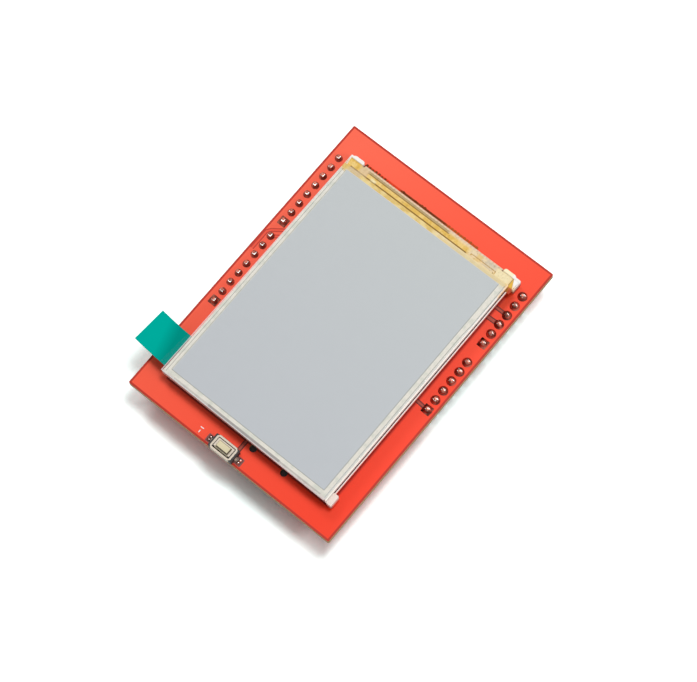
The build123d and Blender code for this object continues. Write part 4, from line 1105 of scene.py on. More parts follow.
# Light and dark tone, roughness and its span, fine and slow scale, bump
STACK = {
    "mounting_tape": ("foam tape", (0.80, 0.79, 0.76), (0.70, 0.69, 0.66), 0.85, 0.05, 3000.0, 500.0, 0.8),
    "diffuser_sheet": ("milky sheet", (0.86, 0.86, 0.86), (0.80, 0.80, 0.81), 0.7, 0.05, 6000.0, 200.0, 0.2),
    "lower_prism_sheet upper_prism_sheet": (
        "ribbed sheet", (0.72, 0.75, 0.77), (0.62, 0.65, 0.68), 0.3, 0.08, 8000.0, 200.0, 0.5
    ),
    "glass_rim_tape": ("rim black", (0.02, 0.02, 0.02), (0.03, 0.03, 0.03), 0.6, 0.05, 4000.0, 200.0, 0.2),
    "rear_polariser front_polariser": (
        "polariser grey", (0.48, 0.50, 0.50), (0.44, 0.46, 0.46), 0.28, 0.04, 6000.0, 100.0, 0.1
    ),
    "driver_chip": ("silicon", (0.10, 0.10, 0.12), (0.07, 0.07, 0.09), 0.12, 0.04, 3000.0, 300.0, 0.05),
    "backlight_leds": ("led body", (0.86, 0.84, 0.76), (0.80, 0.78, 0.70), 0.5, 0.05, 3000.0, 400.0, 0.1),
}
for covered, finish_row in STACK.items():
    dress(grained(*finish_row), *covered.split())
print("stack finishes are on")

# %% [markdown]
# ## Walls and rim of the frame
#
# The frame's walls stand back under the touch panel. The copy of the solid is cut along its right
# wall first, so that only the left and the foot wall move, and then its upper edges are rounded.
# Three narrow blocks finish the right rim: a lip on the wall's top edge, brighter and pinker than the
# frame as a painted highlight, a dark strip in the gap beside the panel as a painted shade, and a
# block that closes the slit at the ear.

# %% Shape the frame and its rim
WALL_INSET = 0.40
WALL_X = 21.36
WALL_FOOT = -38.55
WALL_HEAD = 18.8
WALL_TOP = 12.75
WALL_CUTS = (0.01, 0.06)
WALL_SPAN = (-WALL_X - 0.05, WALL_X + 0.03)
CORNER = 0.8
ROUNDED_FROM = 12.9
ROUNDING = 0.16
# Left, foot, right and head of each block, its lower and upper level, finish and slot
RIM_BLOCKS = [
    ("rim_lip", (21.30, -35.92, 21.53, 18.78), (12.50, 12.76), lip_highlight, "frame_white"),
    ("rim_gap_shade", (20.9, -35.9, 21.32, 18.4), (12.74, 12.78), gap_shade, "rim_black"),
    ("ear_block", (21.05, -38.50, 22.05, -36.0), (12.76, 13.145), frame_white, "frame_white"),
]


def inset_walls(bm):
    """Sets the left and foot walls back under the touch panel. The right wall and the ears stay."""
    for cut in WALL_CUTS:
        everything = bm.verts[:] + bm.edges[:] + bm.faces[:]
        place = ((WALL_X + cut) * MM, 0, 0)
        bmesh.ops.bisect_plane(bm, geom=everything, plane_co=place, plane_no=(1, 0, 0))
    for vert in bm.verts:
        x, y, z = (c / MM for c in vert.co)
        if z > WALL_TOP or y > WALL_HEAD or not WALL_SPAN[0] < x < WALL_SPAN[1]:
            continue
        across = min(max((-x - WALL_X + CORNER) / CORNER, 0.0), 1.0)
        along = min(max((WALL_FOOT + CORNER - y) / CORNER, 0.0), 1.0)
        vert.co.x += WALL_INSET * across * MM
        vert.co.y += WALL_INSET * along * MM


soft_frame = softened("backlight_frame", frame_white, inset_walls, ROUNDING, ROUNDED_FROM * MM)
for name, corners, levels, finish, slot in RIM_BLOCKS:
    block(name, box_outline(*corners), levels[0] * MM, levels[1] * MM, finish)
print("frame faces:", len(soft_frame.data.polygons))

# %% [markdown]
# ## Glass
#
# Thin glass is clear through its face and greenish through its edge, because there the eye looks
# along it. Here only the edges show, and they are ground: most of the light is scattered at them. A
# Principled shader with some transmission gives that, with edges rougher than the faces. On the
# touch glass the tape's amber light is painted on the right edge near the head, and a darker pink
# shade with the board's red in it along the foot edge.

# %% Finish: glass
GLASS_EDGE = 21.17
FACE_ROUGHNESS = 0.02
# Painted light on the touch glass's edges: the tape's amber glow, and darker pink shade at the foot
PAINTED_EDGE_LIGHT = [
    ((20.5, 22.0), (14.6, 20.0), 1.8, 0.9, (0.92, 0.45, 0.12)),
    ((-22.0, 21.0), (-39.0, -38.2), 0.1, 0.8, (0.50, 0.33, 0.30)),
]


def glass_finish(name, tint, edge_tint, edge_roughness, clear, edge_fields=()):
    made, tree, shader, place, grain = new_finish(name, 4000.0, 150.0, Transmission_Weight=clear, IOR=1.5)
    colour = blend_colours(tree, grain["Slow"], tint, dimmed(tint, 0.96))
    edge = blend_colours(tree, grain["Slow"], edge_tint, dimmed(edge_tint, 0.97))
    edge = paint_fields(tree, place, edge, edge_fields)
    flat = use_group(tree, "face mask", Sharpness=4.0)["Flat"]
    give(tree, shader["Base Color"], blend_colours(tree, flat, edge, colour))
    give(tree, shader["Roughness"], spread(tree, flat, 0.0, 1.0, edge_roughness, FACE_ROUGHNESS))
    return made


def inset_edge(bm):
    """The glass and its tape end a little inside the film above them."""
    for vert in bm.verts:
        vert.co.x = min(vert.co.x, GLASS_EDGE * MM)


panel_glass = glass_finish("panel glass", (0.60, 0.66, 0.62), (0.55, 0.64, 0.60), 0.4, 0.6)
cover_glass = glass_finish("touch glass", (0.74, 0.76, 0.69), (0.97, 0.94, 0.90), 0.35, 0.12, PAINTED_EDGE_LIGHT)
acrylic = glass_finish("clear acrylic", (0.93, 0.95, 0.95), (0.90, 0.94, 0.94), 0.15, 1.0)
dress(panel_glass, "tft_glass", "colour_filter_glass")
dress(acrylic, "light_guide")
softened("touch_glass", cover_glass, inset_edge)
softened("touch_tape", adhesive, inset_edge)
print("glass finishes are on")

# %% [markdown]
# ## Touch film
#
# The top sheet of the panel is what the eye sees of the display: a smooth grey field, a cream border
# where the adhesive shows through, an amber strip at the head where the tape lies beneath, and a
# greyer line along the foot. Painted light lies over them: a highlight on the right edge, the tape's
# amber glow at the head's right, a pale reflection over the tape towards the right, and a darker
# pink shade along the foot edge. All are fields on one flat sheet, so rectangle masks lay them out,
# and the gloss is the same all over.

# %% Finish: touch film
VIEW_X = (-19.9, 19.70)
VIEW_Y = (-37.05, 17.75)
VIEW_GREY = (0.500, 0.533, 0.540)
VIEW_GREY_LOW = (0.490, 0.518, 0.548)
BORDER_CREAM = (0.76, 0.725, 0.64)
BORDER_MOTTLE = (0.64, 0.645, 0.56)
HEAD_PLACE = ((-30, 30), (17.8, 30))
HEAD_AMBER = (0.70, 0.47, 0.10)
HEAD_AMBER_PALE = (0.80, 0.62, 0.24)
# The tape's amber glow, painted at the head's right
PAINTED_HEAD_GLOW = (0.92, 0.55, 0.22)
FOOT_PLACE = ((-30, 30), (-40, -38.0))
FOOT_GREY = (0.62, 0.54, 0.50)
FOOT_BAND_GREY = (0.24, 0.215, 0.21)
# A painted highlight on the film's right edge
EDGE_HIGHLIGHT = (0.97, 0.90, 0.82)
BORDER_PRINT_AND_PAINTED_LIGHT = [
    ((-22.0, -20.2), (17.2, 18.8), 0.4, 0.9, HEAD_AMBER),
    ((-19.9, -16.9), (17.8, 30.0), 0.6, 0.8, (0.62, 0.47, 0.27)),
    # A painted reflection pales the tape seen through the film towards the right
    ((2.4, 21.0), (17.8, 30.0), 1.6, 0.75, (0.82, 0.68, 0.40)),
    ((6.5, 21.0), (17.8, 18.35), 1.0, 0.6, (0.62, 0.54, 0.34)),
    ((21.06, 22.0), (-40.0, 20.0), 0.08, 0.95, EDGE_HIGHLIGHT),
    ((-18.5, -9.0), (-38.30, -37.90), 0.14, 0.45, FOOT_BAND_GREY),
    ((-9.5, 9.0), (-38.38, -37.84), 0.14, 0.85, FOOT_BAND_GREY),
    ((8.5, 19.5), (-38.26, -37.92), 0.14, 0.50, FOOT_BAND_GREY),
    # A darker pink painted shade with the board's red along the foot edge
    ((-22.0, 21.0), (-40.0, -38.36), 0.08, 0.7, (0.50, 0.38, 0.35)),
    ((21.0, 22.0), (15.4, 19.4), 0.6, 0.85, PAINTED_HEAD_GLOW),
]


def touch_film_finish():
    made, tree, shader, place, grain = new_finish("touch film", 900.0, 700.0, Roughness=0.10)
    mottle = spread(tree, grain["Slow"], 0.45, 0.62)
    border = blend_colours(tree, mottle, BORDER_CREAM, BORDER_MOTTLE)
    foot = times(tree, field(tree, place, *FOOT_PLACE, 0.3), mottle)
    border = blend_colours(tree, foot, border, FOOT_GREY)
    amber = blend_colours(tree, mottle, HEAD_AMBER, HEAD_AMBER_PALE)
    border = blend_colours(tree, field(tree, place, *HEAD_PLACE, 0.12), border, amber)
    border = paint_fields(tree, place, border, BORDER_PRINT_AND_PAINTED_LIGHT)
    fall = spread(tree, axes_of(tree, place)["Y"], VIEW_Y[1] * MM, VIEW_Y[0] * MM)
    grey = blend_colours(tree, fall, VIEW_GREY, VIEW_GREY_LOW)
    view = field(tree, place, VIEW_X, VIEW_Y, 0.1)
    give(tree, shader["Base Color"], blend_colours(tree, view, border, grey))
    return made


dress(touch_film_finish(), "touch_film")
print("view area in mm:", VIEW_X, VIEW_Y)

# %% [markdown]
# ## Silver lines of the touch panel
#
# Printed silver runs round the border and carries the signals to the tail. The lines are real ink,
# less than a hundredth of a millimetre high, so they are thin strips on the film.

# %% Build the silver lines
SILVER_SUNK = 0.002
SILVER_HEIGHT = 0.008
silver_ink = grained("silver ink", (0.28, 0.29, 0.25), (0.22, 0.23, 0.20), 0.4, 0.08, 4000.0, 600.0, 0.3)
SILVER_LINES = [
    (0.13, [(20.85, 18.2), (20.85, 8.0), (20.62, 4.0), (20.62, -38.0)]),
    (0.12, [(19.62, 17.6), (19.62, -37.02), (-20.0, -37.02)]),
    (0.10, [(-20.05, -37.0), (-20.05, 17.6)]),
    (0.10, [(-20.75, 17.6), (-20.75, -38.0)]),
]
silver_levels = (FILM_TOP - SILVER_SUNK * MM, FILM_TOP + SILVER_HEIGHT * MM)
strips("silver_lines", SILVER_LINES, *silver_levels, silver_ink, "touch_film")
print("silver lines:", len(SILVER_LINES))

# %% [markdown]
# ## Protective film and pull tab
#
# The clear film lies over the whole face, a little askew, and an ear of it carries the blue-green
# tab. It is nearly invisible: only its cut edge and its outermost line catch the light. Alpha gives
# that at no cost, with a mask for the line. The film is drawn again from its own size and turn, a
# hair above the touch film, so that the two faces never lie in one plane.

# %% Build the clear film
FILM_CENTRE = (-0.25, -10.0)
FILM_TURN = math.radians(-0.35)
FILM_HALF = (21.25, 28.55)
FILM_GAP = 0.01
FILM_TONES = ((0.93, 0.93, 0.93), (0.88, 0.89, 0.90))
LINE_INSET = 0.22
LINE_SHOWN = 0.34
VEIL_SHOWN = 0.03
CUT_SHOWN = 0.25
LEAST_SHOWN = 0.004
BELOW_HEAD = ((-30, 30), (-45, 17.6))
EAR_FOOT = -27.4
EAR_HEAD = -19.4
EAR_REACH = 0.75
EAR_SLANT = 0.51


def film_point(x, y):
    """A point given on the film, from its middle, placed in the model, in mm."""
    turned_x = x * math.cos(FILM_TURN) - y * math.sin(FILM_TURN)
    turned_y = x * math.sin(FILM_TURN) + y * math.cos(FILM_TURN)
    return (FILM_CENTRE[0] + turned_x, FILM_CENTRE[1] + turned_y)


def film_field(tree, turned, inset, softness):
    """Mask of the film's own rectangle, or of a smaller one inside it."""
    spans = [(FILM_CENTRE[k] - FILM_HALF[k] + inset, FILM_CENTRE[k] + FILM_HALF[k] - inset) for k in (0, 1)]
    return field(tree, turned, *spans, softness)


def clear_film_finish():
    made, tree, shader, place, grain = new_finish("clear film", 1500.0, 60.0, Roughness=0.08)
    give(tree, shader["Base Color"], blend_colours(tree, grain["Slow"], *FILM_TONES))
    centre = (FILM_CENTRE[0] * MM, FILM_CENTRE[1] * MM, 0.0)
    about_z = {"rotation_type": "Z_AXIS"}
    turn = add(tree, "ShaderNodeVectorRotate", about_z, Vector=place, Center=centre, Angle=-FILM_TURN)
    whole = film_field(tree, turn.outputs[0], 0.0, 0.04)
    inner = film_field(tree, turn.outputs[0], LINE_INSET, 0.1)
    below_head = field(tree, place, *BELOW_HEAD, 0.3)
    line = times(tree, maths(tree, "SUBTRACT", whole, inner, clamp=True), LINE_SHOWN)
    line = times(tree, line, below_head)
    flat = use_group(tree, "face mask", Sharpness=4.0)["Flat"]
    cut = times(tree, maths(tree, "SUBTRACT", 1.0, flat), times(tree, below_head, CUT_SHOWN))
    line_and_veil = maths(tree, "ADD", line, times(tree, whole, VEIL_SHOWN))
    shown = maths(tree, "ADD", line_and_veil, maths(tree, "ADD", cut, LEAST_SHOWN))
    give(tree, shader["Alpha"], shown)
    return made


def build_clear_film():
    half_x, half_y = FILM_HALF
    outline = [
        (half_x, half_y),
        (-half_x, half_y),
        (-half_x, EAR_HEAD),
        (-half_x - EAR_REACH, EAR_HEAD + 0.05),
        (-half_x - EAR_REACH - EAR_SLANT, EAR_FOOT + 0.06),
        (-half_x, EAR_FOOT),
        (-half_x, -half_y),
        (half_x, -half_y),
    ]
    placed = [film_point(x, y) for x, y in outline]
    low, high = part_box("protective_film")
    made = block("clear_film", placed, low.z + FILM_GAP * MM, high.z, clear_film_finish())
    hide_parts("protective_film")
    return made


clear_film = build_clear_film()
print("clear film faces:", len(clear_film.data.polygons))

# %% [markdown]
# ## Pull tab
#
# One pulls this tab to peel off the clear film. It is matt, and a painted shade deepens its green towards the
# panel.
# Its solid is bent already, so a copy of it only gets its finish and a small move.

# %% Finish: pull tab
TAB_GREEN = (0.0, 0.41, 0.335)
# Darker green: a painted shade towards the panel, and the dark end of the mottle
TAB_SHADE_AND_MOTTLE_GREEN = (0.0, 0.27, 0.22)
TAB_SLANT = 0.25
TAB_SHADE_RANGE = (-34.6, -31.6)
TAB_MOVE = Vector((0.50, 0.12, 0)) * MM
TAB_NEAR = -21.34


def tab_finish():
    made, tree, shader, place, grain = new_finish(
        "pull tab", 3000.0, 160.0, Roughness=0.42, Specular_IOR_Level=0.0
    )
    axes = axes_of(tree, place)
    slant = maths(tree, "ADD", axes["X"], times(tree, axes["Y"], TAB_SLANT))
    # A painted shade deepens the green towards the panel
    near = spread(tree, slant, TAB_SHADE_RANGE[0] * MM, TAB_SHADE_RANGE[1] * MM)
    colour = blend_colours(tree, near, TAB_GREEN, TAB_SHADE_AND_MOTTLE_GREEN)
    mottle = times(tree, grain["Slow"], 0.12)
    give(tree, shader["Base Color"], blend_colours(tree, mottle, colour, TAB_SHADE_AND_MOTTLE_GREEN))
    add_bump(tree, shader, grain["Fine"], 0.12)
    return made


def settle_tab(bm):
    """The tab lies a little nearer to the panel than its solid, and ends at the film's edge."""
    for vert in bm.verts:
        vert.co += TAB_MOVE
        vert.co.x = min(vert.co.x, TAB_NEAR * MM)


softened("pull_tab", tab_finish(), settle_tab)
print("film and tab are dressed")

# %% [markdown]
# ## Flexes and amber tape
#
# The display's flex is amber film with copper lines in it. It is folded round the frame's sill and
# an amber tape holds it down. From above one sees bands along the head: a painted shadow behind the
# touch glass, the yellow tape, the line where the tape ends, a greyish band in the fold and a painted
# highlight on the turn of the fold. Towards the right a painted reflection of the studio pales the
# tape, and it keeps wrinkles and a bubble. Each is a field, given by its place, softness and strength.

# %% Finishes: amber films
AMBER = (0.70, 0.45, 0.085)
AMBER_PALE = (0.80, 0.57, 0.19)
# Dark amber of the copper lines and specks, also used for painted shadow lines
AMBER_LINE_AND_SHADE = (0.21, 0.105, 0.014)
FOLD_GREY = (0.42, 0.32, 0.17)
# A painted highlight on the turn of the fold
FOLD_HIGHLIGHT = (0.84, 0.66, 0.50)
# A painted reflection of the studio that pales the tape towards the right
REFLECTION_PALE = (0.78, 0.66, 0.46)
REFLECTION_GREY = (0.55, 0.50, 0.40)
PALE_YELLOW = (0.84, 0.76, 0.46)
DEEP_AMBER = (0.72, 0.42, 0.03)
DEEP_ORANGE = (0.40, 0.12, 0.008)
SPECK_DEPTH = 0.35
WRINKLE_DEPTH = 0.1 * MM

TAPE_FIELDS = [
    # A painted shadow behind the touch glass's head edge
    ((-20.4, 9.9), (18.9, 19.44), 0.08, 1.0, AMBER_LINE_AND_SHADE),
    ((-20.2, -16.9), (18.9, 19.38), 0.3, 0.5, (0.60, 0.47, 0.26)),
    ((-16.6, 4.6), (20.24, 20.46), 0.10, 0.95, AMBER_LINE_AND_SHADE),
    ((-16.6, 4.8), (20.46, 22.0), 0.10, 0.95, FOLD_GREY),
    ((4.4, 9.9), (20.5, 22.0), 0.5, 0.7, FOLD_HIGHLIGHT),
    ((-18.4, -16.4), (19.4, 22.0), 0.6, 0.75, (0.66, 0.50, 0.33)),
    ((-15.2, -14.0), (19.35, 19.9), 0.35, 0.9, PALE_YELLOW),
    ((10.2, 20.7), (18.9, 22.0), 1.0, 0.85, REFLECTION_PALE),
    ((12.1, 13.4), (18.9, 21.0), 0.5, 0.55, AMBER),
    ((13.6, 16.4), (19.0, 20.0), 0.6, 0.5, REFLECTION_GREY),
    ((14.3, 16.8), (20.1, 21.0), 0.5, 0.75, REFLECTION_GREY),
    ((17.2, 20.7), (18.4, 21.2), 0.8, 0.6, PALE_YELLOW),
    ((20.82, 20.98), (18.0, 21.2), 0.12, 0.8, AMBER_LINE_AND_SHADE),
    ((20.98, 22.4), (18.0, 21.2), 0.10, 0.9, DEEP_AMBER),
    ((20.8, 22.4), (17.6, 18.95), 0.3, 0.95, DEEP_ORANGE),
    ((21.55, 22.4), (17.6, 18.9), 0.3, 0.95, (0.50, 0.035, 0.006)),
]
FOLD_FIELDS = [
    ((-18.4, 4.6), (20.0, 20.98), 0.14, 0.95, FOLD_GREY),
    ((4.4, 18.2), (20.0, 22.0), 0.6, 0.7, REFLECTION_PALE),
    ((-18.4, -16.6), (20.0, 20.98), 0.4, 0.7, PALE_YELLOW),
    ((14.0, 16.8), (20.1, 21.1), 0.4, 0.6, REFLECTION_GREY),
    ((-18.4, 18.2), (20.98, 22.0), 0.14, 0.9, FOLD_HIGHLIGHT),
]
TAIL_FIELDS = [
    ((10, 18), (17, 21), 0.3, 0.75, REFLECTION_PALE),
    ((12.1, 13.4), (17, 21), 0.5, 0.5, AMBER),
    ((14.2, 16.4), (19.0, 21), 0.5, 0.6, REFLECTION_GREY),
]


def amber_finish(name, fields, line_pitch, line_depth):
    """Amber film with mottled tone, faint copper lines along Y, and fields on what faces up."""
    made, tree, shader, place, grain = new_finish(
        name, 2400.0, 900.0, Roughness=0.30, Specular_IOR_Level=0.25
    )
    amber = blend_colours(tree, spread(tree, grain["Slow"], 0.42, 0.62), AMBER, AMBER_PALE)
    upward = spread(tree, use_group(tree, "face mask")["Rise"], 0.05, 0.55)
    colour = blend_colours(tree, upward, amber, paint_fields(tree, place, amber, fields))
    across = axes_of(tree, place)["X"]
    line = use_group(tree, "stripes", Coordinate=across, Pitch=line_pitch * MM, Share=0.5)["Line"]
    colour = blend_colours(tree, times(tree, line, line_depth), colour, AMBER_LINE_AND_SHADE)
    speck = times(tree, spread(tree, grain["Fine"], 0.56, 0.72), SPECK_DEPTH)
    give(tree, shader["Base Color"], blend_colours(tree, speck, colour, AMBER_LINE_AND_SHADE))
    add_bump(tree, shader, grain["Slow"], 0.2, WRINKLE_DEPTH)
    return made


ledge_amber = amber_finish("ledge tape", TAPE_FIELDS, 0.8, 0.05)
dress(ledge_amber, "ledge_tape")
dress(amber_finish("display flex", FOLD_FIELDS, 0.8, 0.14), "display_flex", "led_strip_flex")
dress(amber_finish("touch tail", TAIL_FIELDS, 1.0, 0.06), "touch_flex")
print("amber films are dressed")

# %% [markdown]
# ## Where the tape meets the posts
#
# The tape is pressed up against both posts, so no gap shows there, and the right post fills out to a
# slanted block beside it. Two low amber lips and one white block close these places.

# %% Build the lips and the block
POST_INSIDE_Y = 20.86
LIP_ALONG = (POST_INSIDE_Y - 0.14, POST_INSIDE_Y + 0.03)
LIP_ACROSS = [(-21.4, -18.42), (18.22, 22.1)]
LIP_HEIGHT = 0.05
POST_BLOCK = [(21.02, 20.9), (21.98, 18.85), (22.2, 18.85), (22.2, 20.9)]
POST_TOP = 13.12


def build_lips():
    bm = bmesh.new()
    for left, right in LIP_ACROSS:
        outline = box_outline(left, LIP_ALONG[0], right, LIP_ALONG[1])
        prism(bm, outline, tape_low.z, tape_high.z + LIP_HEIGHT * MM)
    return piece("tape_lips", bm, ledge_amber)


def build_post_block():
    bm = bmesh.new()
    prism(bm, POST_BLOCK, tape_high.z, POST_TOP * MM)
    round_edges(bm, edges_above(bm, (POST_TOP - 0.01) * MM), 0.12)
    return piece("post_block", bm, frame_white)


lips = build_lips()
post_block = build_post_block()
print("lip faces:", len(lips.data.polygons), "block faces:", len(post_block.data.polygons))

# %% [markdown]
# ## Soldered lands of the flex
#
# The flex ends in a row of soldered lands under the display's head. Their toes stick out like dark
# teeth, brown with flux and with a painted shade from the fold above them, and burnt orange towards
# the right, where less flux is left. Each is a low rounded bar of its own length. A thin stain lies
# between and around them, with painted shade where it runs under the fold.

# %% Build the flex lands
LAND_PITCH = 0.8
LAND_WIDTH = 0.52
LAND_TOE = 22.62
LAND_HEIGHT = 0.07
LAND_BUMP = 0.05 * MM
SHORT_TOES = (-13.2, -9.6)
SHORTER_BY = 0.35
STAIN_TOE = 22.48
STAIN_HEIGHT = 0.012
# Brown of flux, with a painted shade from the fold in it
LAND_FLUX_AND_SHADE = (0.20, 0.050, 0.010)
LAND_FLUX_AND_SHADE_DARK = (0.12, 0.028, 0.006)
LAND_ORANGE = (0.42, 0.105, 0.022)
STAIN = (0.36, 0.050, 0.020)
STAIN_FIELDS = [
    # Dark fields under the fold: painted shade over the stain
    ((-20.0, -13.0), (20, 22.1), 0.2, 0.9, (0.22, 0.045, 0.016)),
    ((-20.0, -13.0), (22.1, 24), 0.2, 0.9, (0.78, 0.058, 0.020)),
    ((-13.0, -9.8), (20, 24), 0.8, 0.85, (0.80, 0.060, 0.018)),
    ((-9.5, 2.6), (20, 24), 0.6, 0.85, (0.16, 0.040, 0.008)),
    ((2.6, 12.0), (20, 24), 1.4, 0.8, (0.66, 0.090, 0.016)),
]
LAND_FIELDS = [
    ((-13.0, -9.8), (20, 24), 0.6, 0.8, (0.55, 0.070, 0.030)),
    ((2.6, 12.0), (20, 24), 1.4, 0.85, LAND_ORANGE),
]


def land_finish(name, light, dark, fields):
    made, tree, shader, place, grain = new_finish(
        name, 2400.0, 1300.0, Roughness=0.5, Specular_IOR_Level=0.06
    )
    tone = spread(tree, grain["Slow"], 0.40, 0.62)
    colour = paint_fields(tree, place, blend_colours(tree, tone, light, dark), fields)
    give(tree, shader["Base Color"], colour)
    add_bump(tree, shader, grain["Slow"], 0.3, LAND_BUMP)
    return made


def build_flex_lands():
    low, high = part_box("flex_solder")
    width = (high.x - low.x) / MM
    middle = (low.x + high.x) / 2 / MM
    heel = low.y / MM
    count = round((width - LAND_WIDTH) / LAND_PITCH) + 1
    first = middle - (count - 1) * LAND_PITCH / 2
    bm = bmesh.new()
    for i in range(count):
        x = first + i * LAND_PITCH
        toe = LAND_TOE - draw.uniform(0.0, 0.3)
        if SHORT_TOES[0] < x < SHORT_TOES[1]:
            toe -= SHORTER_BY
        land = rounded_rectangle(x, (toe + heel) / 2, LAND_WIDTH, toe - heel, 0.16, 3)
        prism(bm, land, BOARD_TOP, BOARD_TOP + LAND_HEIGHT * MM)
    round_edges(bm, edges_above(bm, BOARD_TOP + (LAND_HEIGHT - 0.02) * MM), 0.03, 2)
    stain = rounded_rectangle(middle, (heel + STAIN_TOE) / 2, width + 0.4, STAIN_TOE - heel, 0.3)
    stain_look = land_finish("flux stain", STAIN, LAND_FLUX_AND_SHADE, STAIN_FIELDS)
    block("flux_stain", stain, BOARD_TOP, BOARD_TOP + STAIN_HEIGHT * MM, stain_look)
    lands = piece("flex_lands", bm, land_finish("lands", LAND_FLUX_AND_SHADE, LAND_FLUX_AND_SHADE_DARK, LAND_FIELDS))
    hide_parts("flex_solder")
    return lands


flex_lands = build_flex_lands()
print("land faces:", len(flex_lands.data.polygons))

# %% [markdown]
# ## Small parts under the board
#
# The capacitors are fired ceramic with a light mottle, and the resistors carry a black glaze. Both
# come from the grain finish, with its scale set to the size of such small parts.

# %% Finishes: ceramics
GLAZE_TONES = ((0.030, 0.030, 0.034), (0.022, 0.022, 0.026))
ceramic = grained("fired ceramic", (0.40, 0.27, 0.17), (0.33, 0.22, 0.13), 0.55, 0.06, 5000.0, 600.0, 0.3)
dress(ceramic, "ceramic_capacitors")
dress(grained("resistor glaze", *GLAZE_TONES, 0.22, 0.05, 4000.0, 500.0, 0.1), "chip_resistors")
print("small parts are dressed")

# %% [markdown]
# ## Wiring on the back
#
# Tracks join the header pins, the two chips and the card socket. They turn by 45 degrees, as board
# tracks do, and some end in a via, a small plated hole that leads to the front. Like the tracks on
# the front they are raised strips with a darker strip beneath, only on the other face. Most paths
# are one rule repeated, so loops lay them out from the pitch of the pins and leads.

# %% Lay out the paths on the back
HEADER_INSIDE = 22.7
LEFT_PINS = (4.572, 2.032, -2.032, -4.572, -7.112, -9.652)
RIGHT_FIRST_PIN = 2.032
RIGHT_LEADS = (0, 2, 4, 6, 8, 9)
CHIP_LEAD_OUT = 14.5
CHIP_LEAD_IN = 4.5
TURN_X = 16.6
FIRST_LEAD_Y = 1.715
LEAD_PITCH = 1.27
FAN_X = 3.4
FAN_STEP = 0.8
FAN_BEND = 0.5
FAN_HEAD = 14.6
FAN_RISE = 1.1
SIGNAL = 0.3
SUPPLY = 0.9
SUPPLY_PATHS = [[(-9.2, -22.7), (-5.5, -22.7), (-3.4, -20.6), (-3.4, -13.2)], [(-9.2, -27.3), (-4.6, -27.3)]]
RESISTOR_TO_CONTACT = [(1.24, 2.39), (3.24, 3.49), (5.24, 5.69), (7.24, 6.79), (9.24, 7.89), (11.24, 10.09)]
RESISTOR_FOOT = -25.9
RESISTOR_HEAD = -24.1
RESISTOR_VIA = -19.0
RESISTOR_VIA_STEP = 0.9
CONTACT_HEAD = -27.9
GROUND_VIAS = [(-20.2, 12.4), (-8.0, 11.0), (9.6, 13.2), (19.6, 10.4), (-20.4, -29.0), (-7.4, -38.6)]
GROUND_VIAS += [(18.2, -20.6), (20.4, -34.0), (0.2, -13.6), (-16.8, 23.4), (14.6, 23.6), (-21.0, -39.8)]


def bent_path(start, end, turn_x):
    """A path along X that changes its Y on one 45 degree run, which ends at turn_x."""
    rise = abs(end[1] - start[1])
    side = 1 if end[0] > start[0] else -1
    return [start, (turn_x - side * rise, start[1]), (turn_x, end[1]), end]


def back_paths():
    """All paths of the back, as (width, points), and the places of the vias."""
    signals = []
    vias = GROUND_VIAS + [points[-1] for points in SUPPLY_PATHS]
    for i, pin_y in enumerate(LEFT_PINS):
        end = (-CHIP_LEAD_OUT, FIRST_LEAD_Y - i * LEAD_PITCH)
        signals.append(bent_path((-HEADER_INSIDE, pin_y), end, -TURN_X))
    for i, lead in enumerate(RIGHT_LEADS):
        start = (HEADER_INSIDE, RIGHT_FIRST_PIN - i * PIN_PITCH)
        signals.append(bent_path(start, (CHIP_LEAD_OUT, FIRST_LEAD_Y - lead * LEAD_PITCH), TURN_X))
    for side in (-1, 1):
        for i in range(4):
            lead_y = FIRST_LEAD_Y - i * LEAD_PITCH
            x = side * (FAN_X - FAN_STEP * i)
            top = FAN_HEAD + FAN_RISE * i
            bend = [(x + side * FAN_BEND, lead_y), (x, lead_y + FAN_BEND)]
            signals.append([(side * CHIP_LEAD_IN, lead_y), *bend, (x, top)])
            vias.append((x, top))
    for i, (resistor_x, contact_x) in enumerate(RESISTOR_TO_CONTACT):
        bend = RESISTOR_FOOT - 0.2
        end = bend - abs(contact_x - resistor_x)
        down = [(resistor_x, RESISTOR_FOOT), (resistor_x, bend), (contact_x, end), (contact_x, CONTACT_HEAD)]
        top = RESISTOR_VIA + RESISTOR_VIA_STEP * i
        signals += [down, [(resistor_x, RESISTOR_HEAD), (resistor_x, top)]]
        vias.append((resistor_x, top))
    paths = [(SUPPLY, points) for points in SUPPLY_PATHS] + [(SIGNAL, points) for points in signals]
    return paths, vias


BACK_PATHS, VIAS = back_paths()
print("paths on the back:", len(BACK_PATHS), "vias:", len(VIAS))

# %% [markdown]
# ## Tracks and vias on the back
#
# The tool that laid the tracks on the front lays these too, with its heights turned downwards. A via
# is a round rim with a dark disc on it, a painted shade for the hole. A real hole would mean cutting
# the board's solid, and this file leaves the solids as they are.

# %% Build the tracks and vias
VIA_RADIUS = 0.40
VIA_HOLE = 0.17
VIA_HEIGHT = 0.018
HOLE_HEIGHT = 0.022
# A dark disc painted as the shade inside the via's hole
hole_shade = grained("hole shade", (0.05, 0.012, 0.008), (0.03, 0.008, 0.006), 0.7, 0.05, 4000.0, 400.0, 0.2)


def round_plates(name, radius, height, finish):
    """A round plate at every via, on the back of the board."""
    bm = bmesh.new()
    for x, y in VIAS:
        plate = rounded_rectangle(x, y, 2 * radius, 2 * radius, radius)
        prism(bm, plate, BOARD_BACK - height * MM, BOARD_BACK)
    return piece(name, bm, finish)


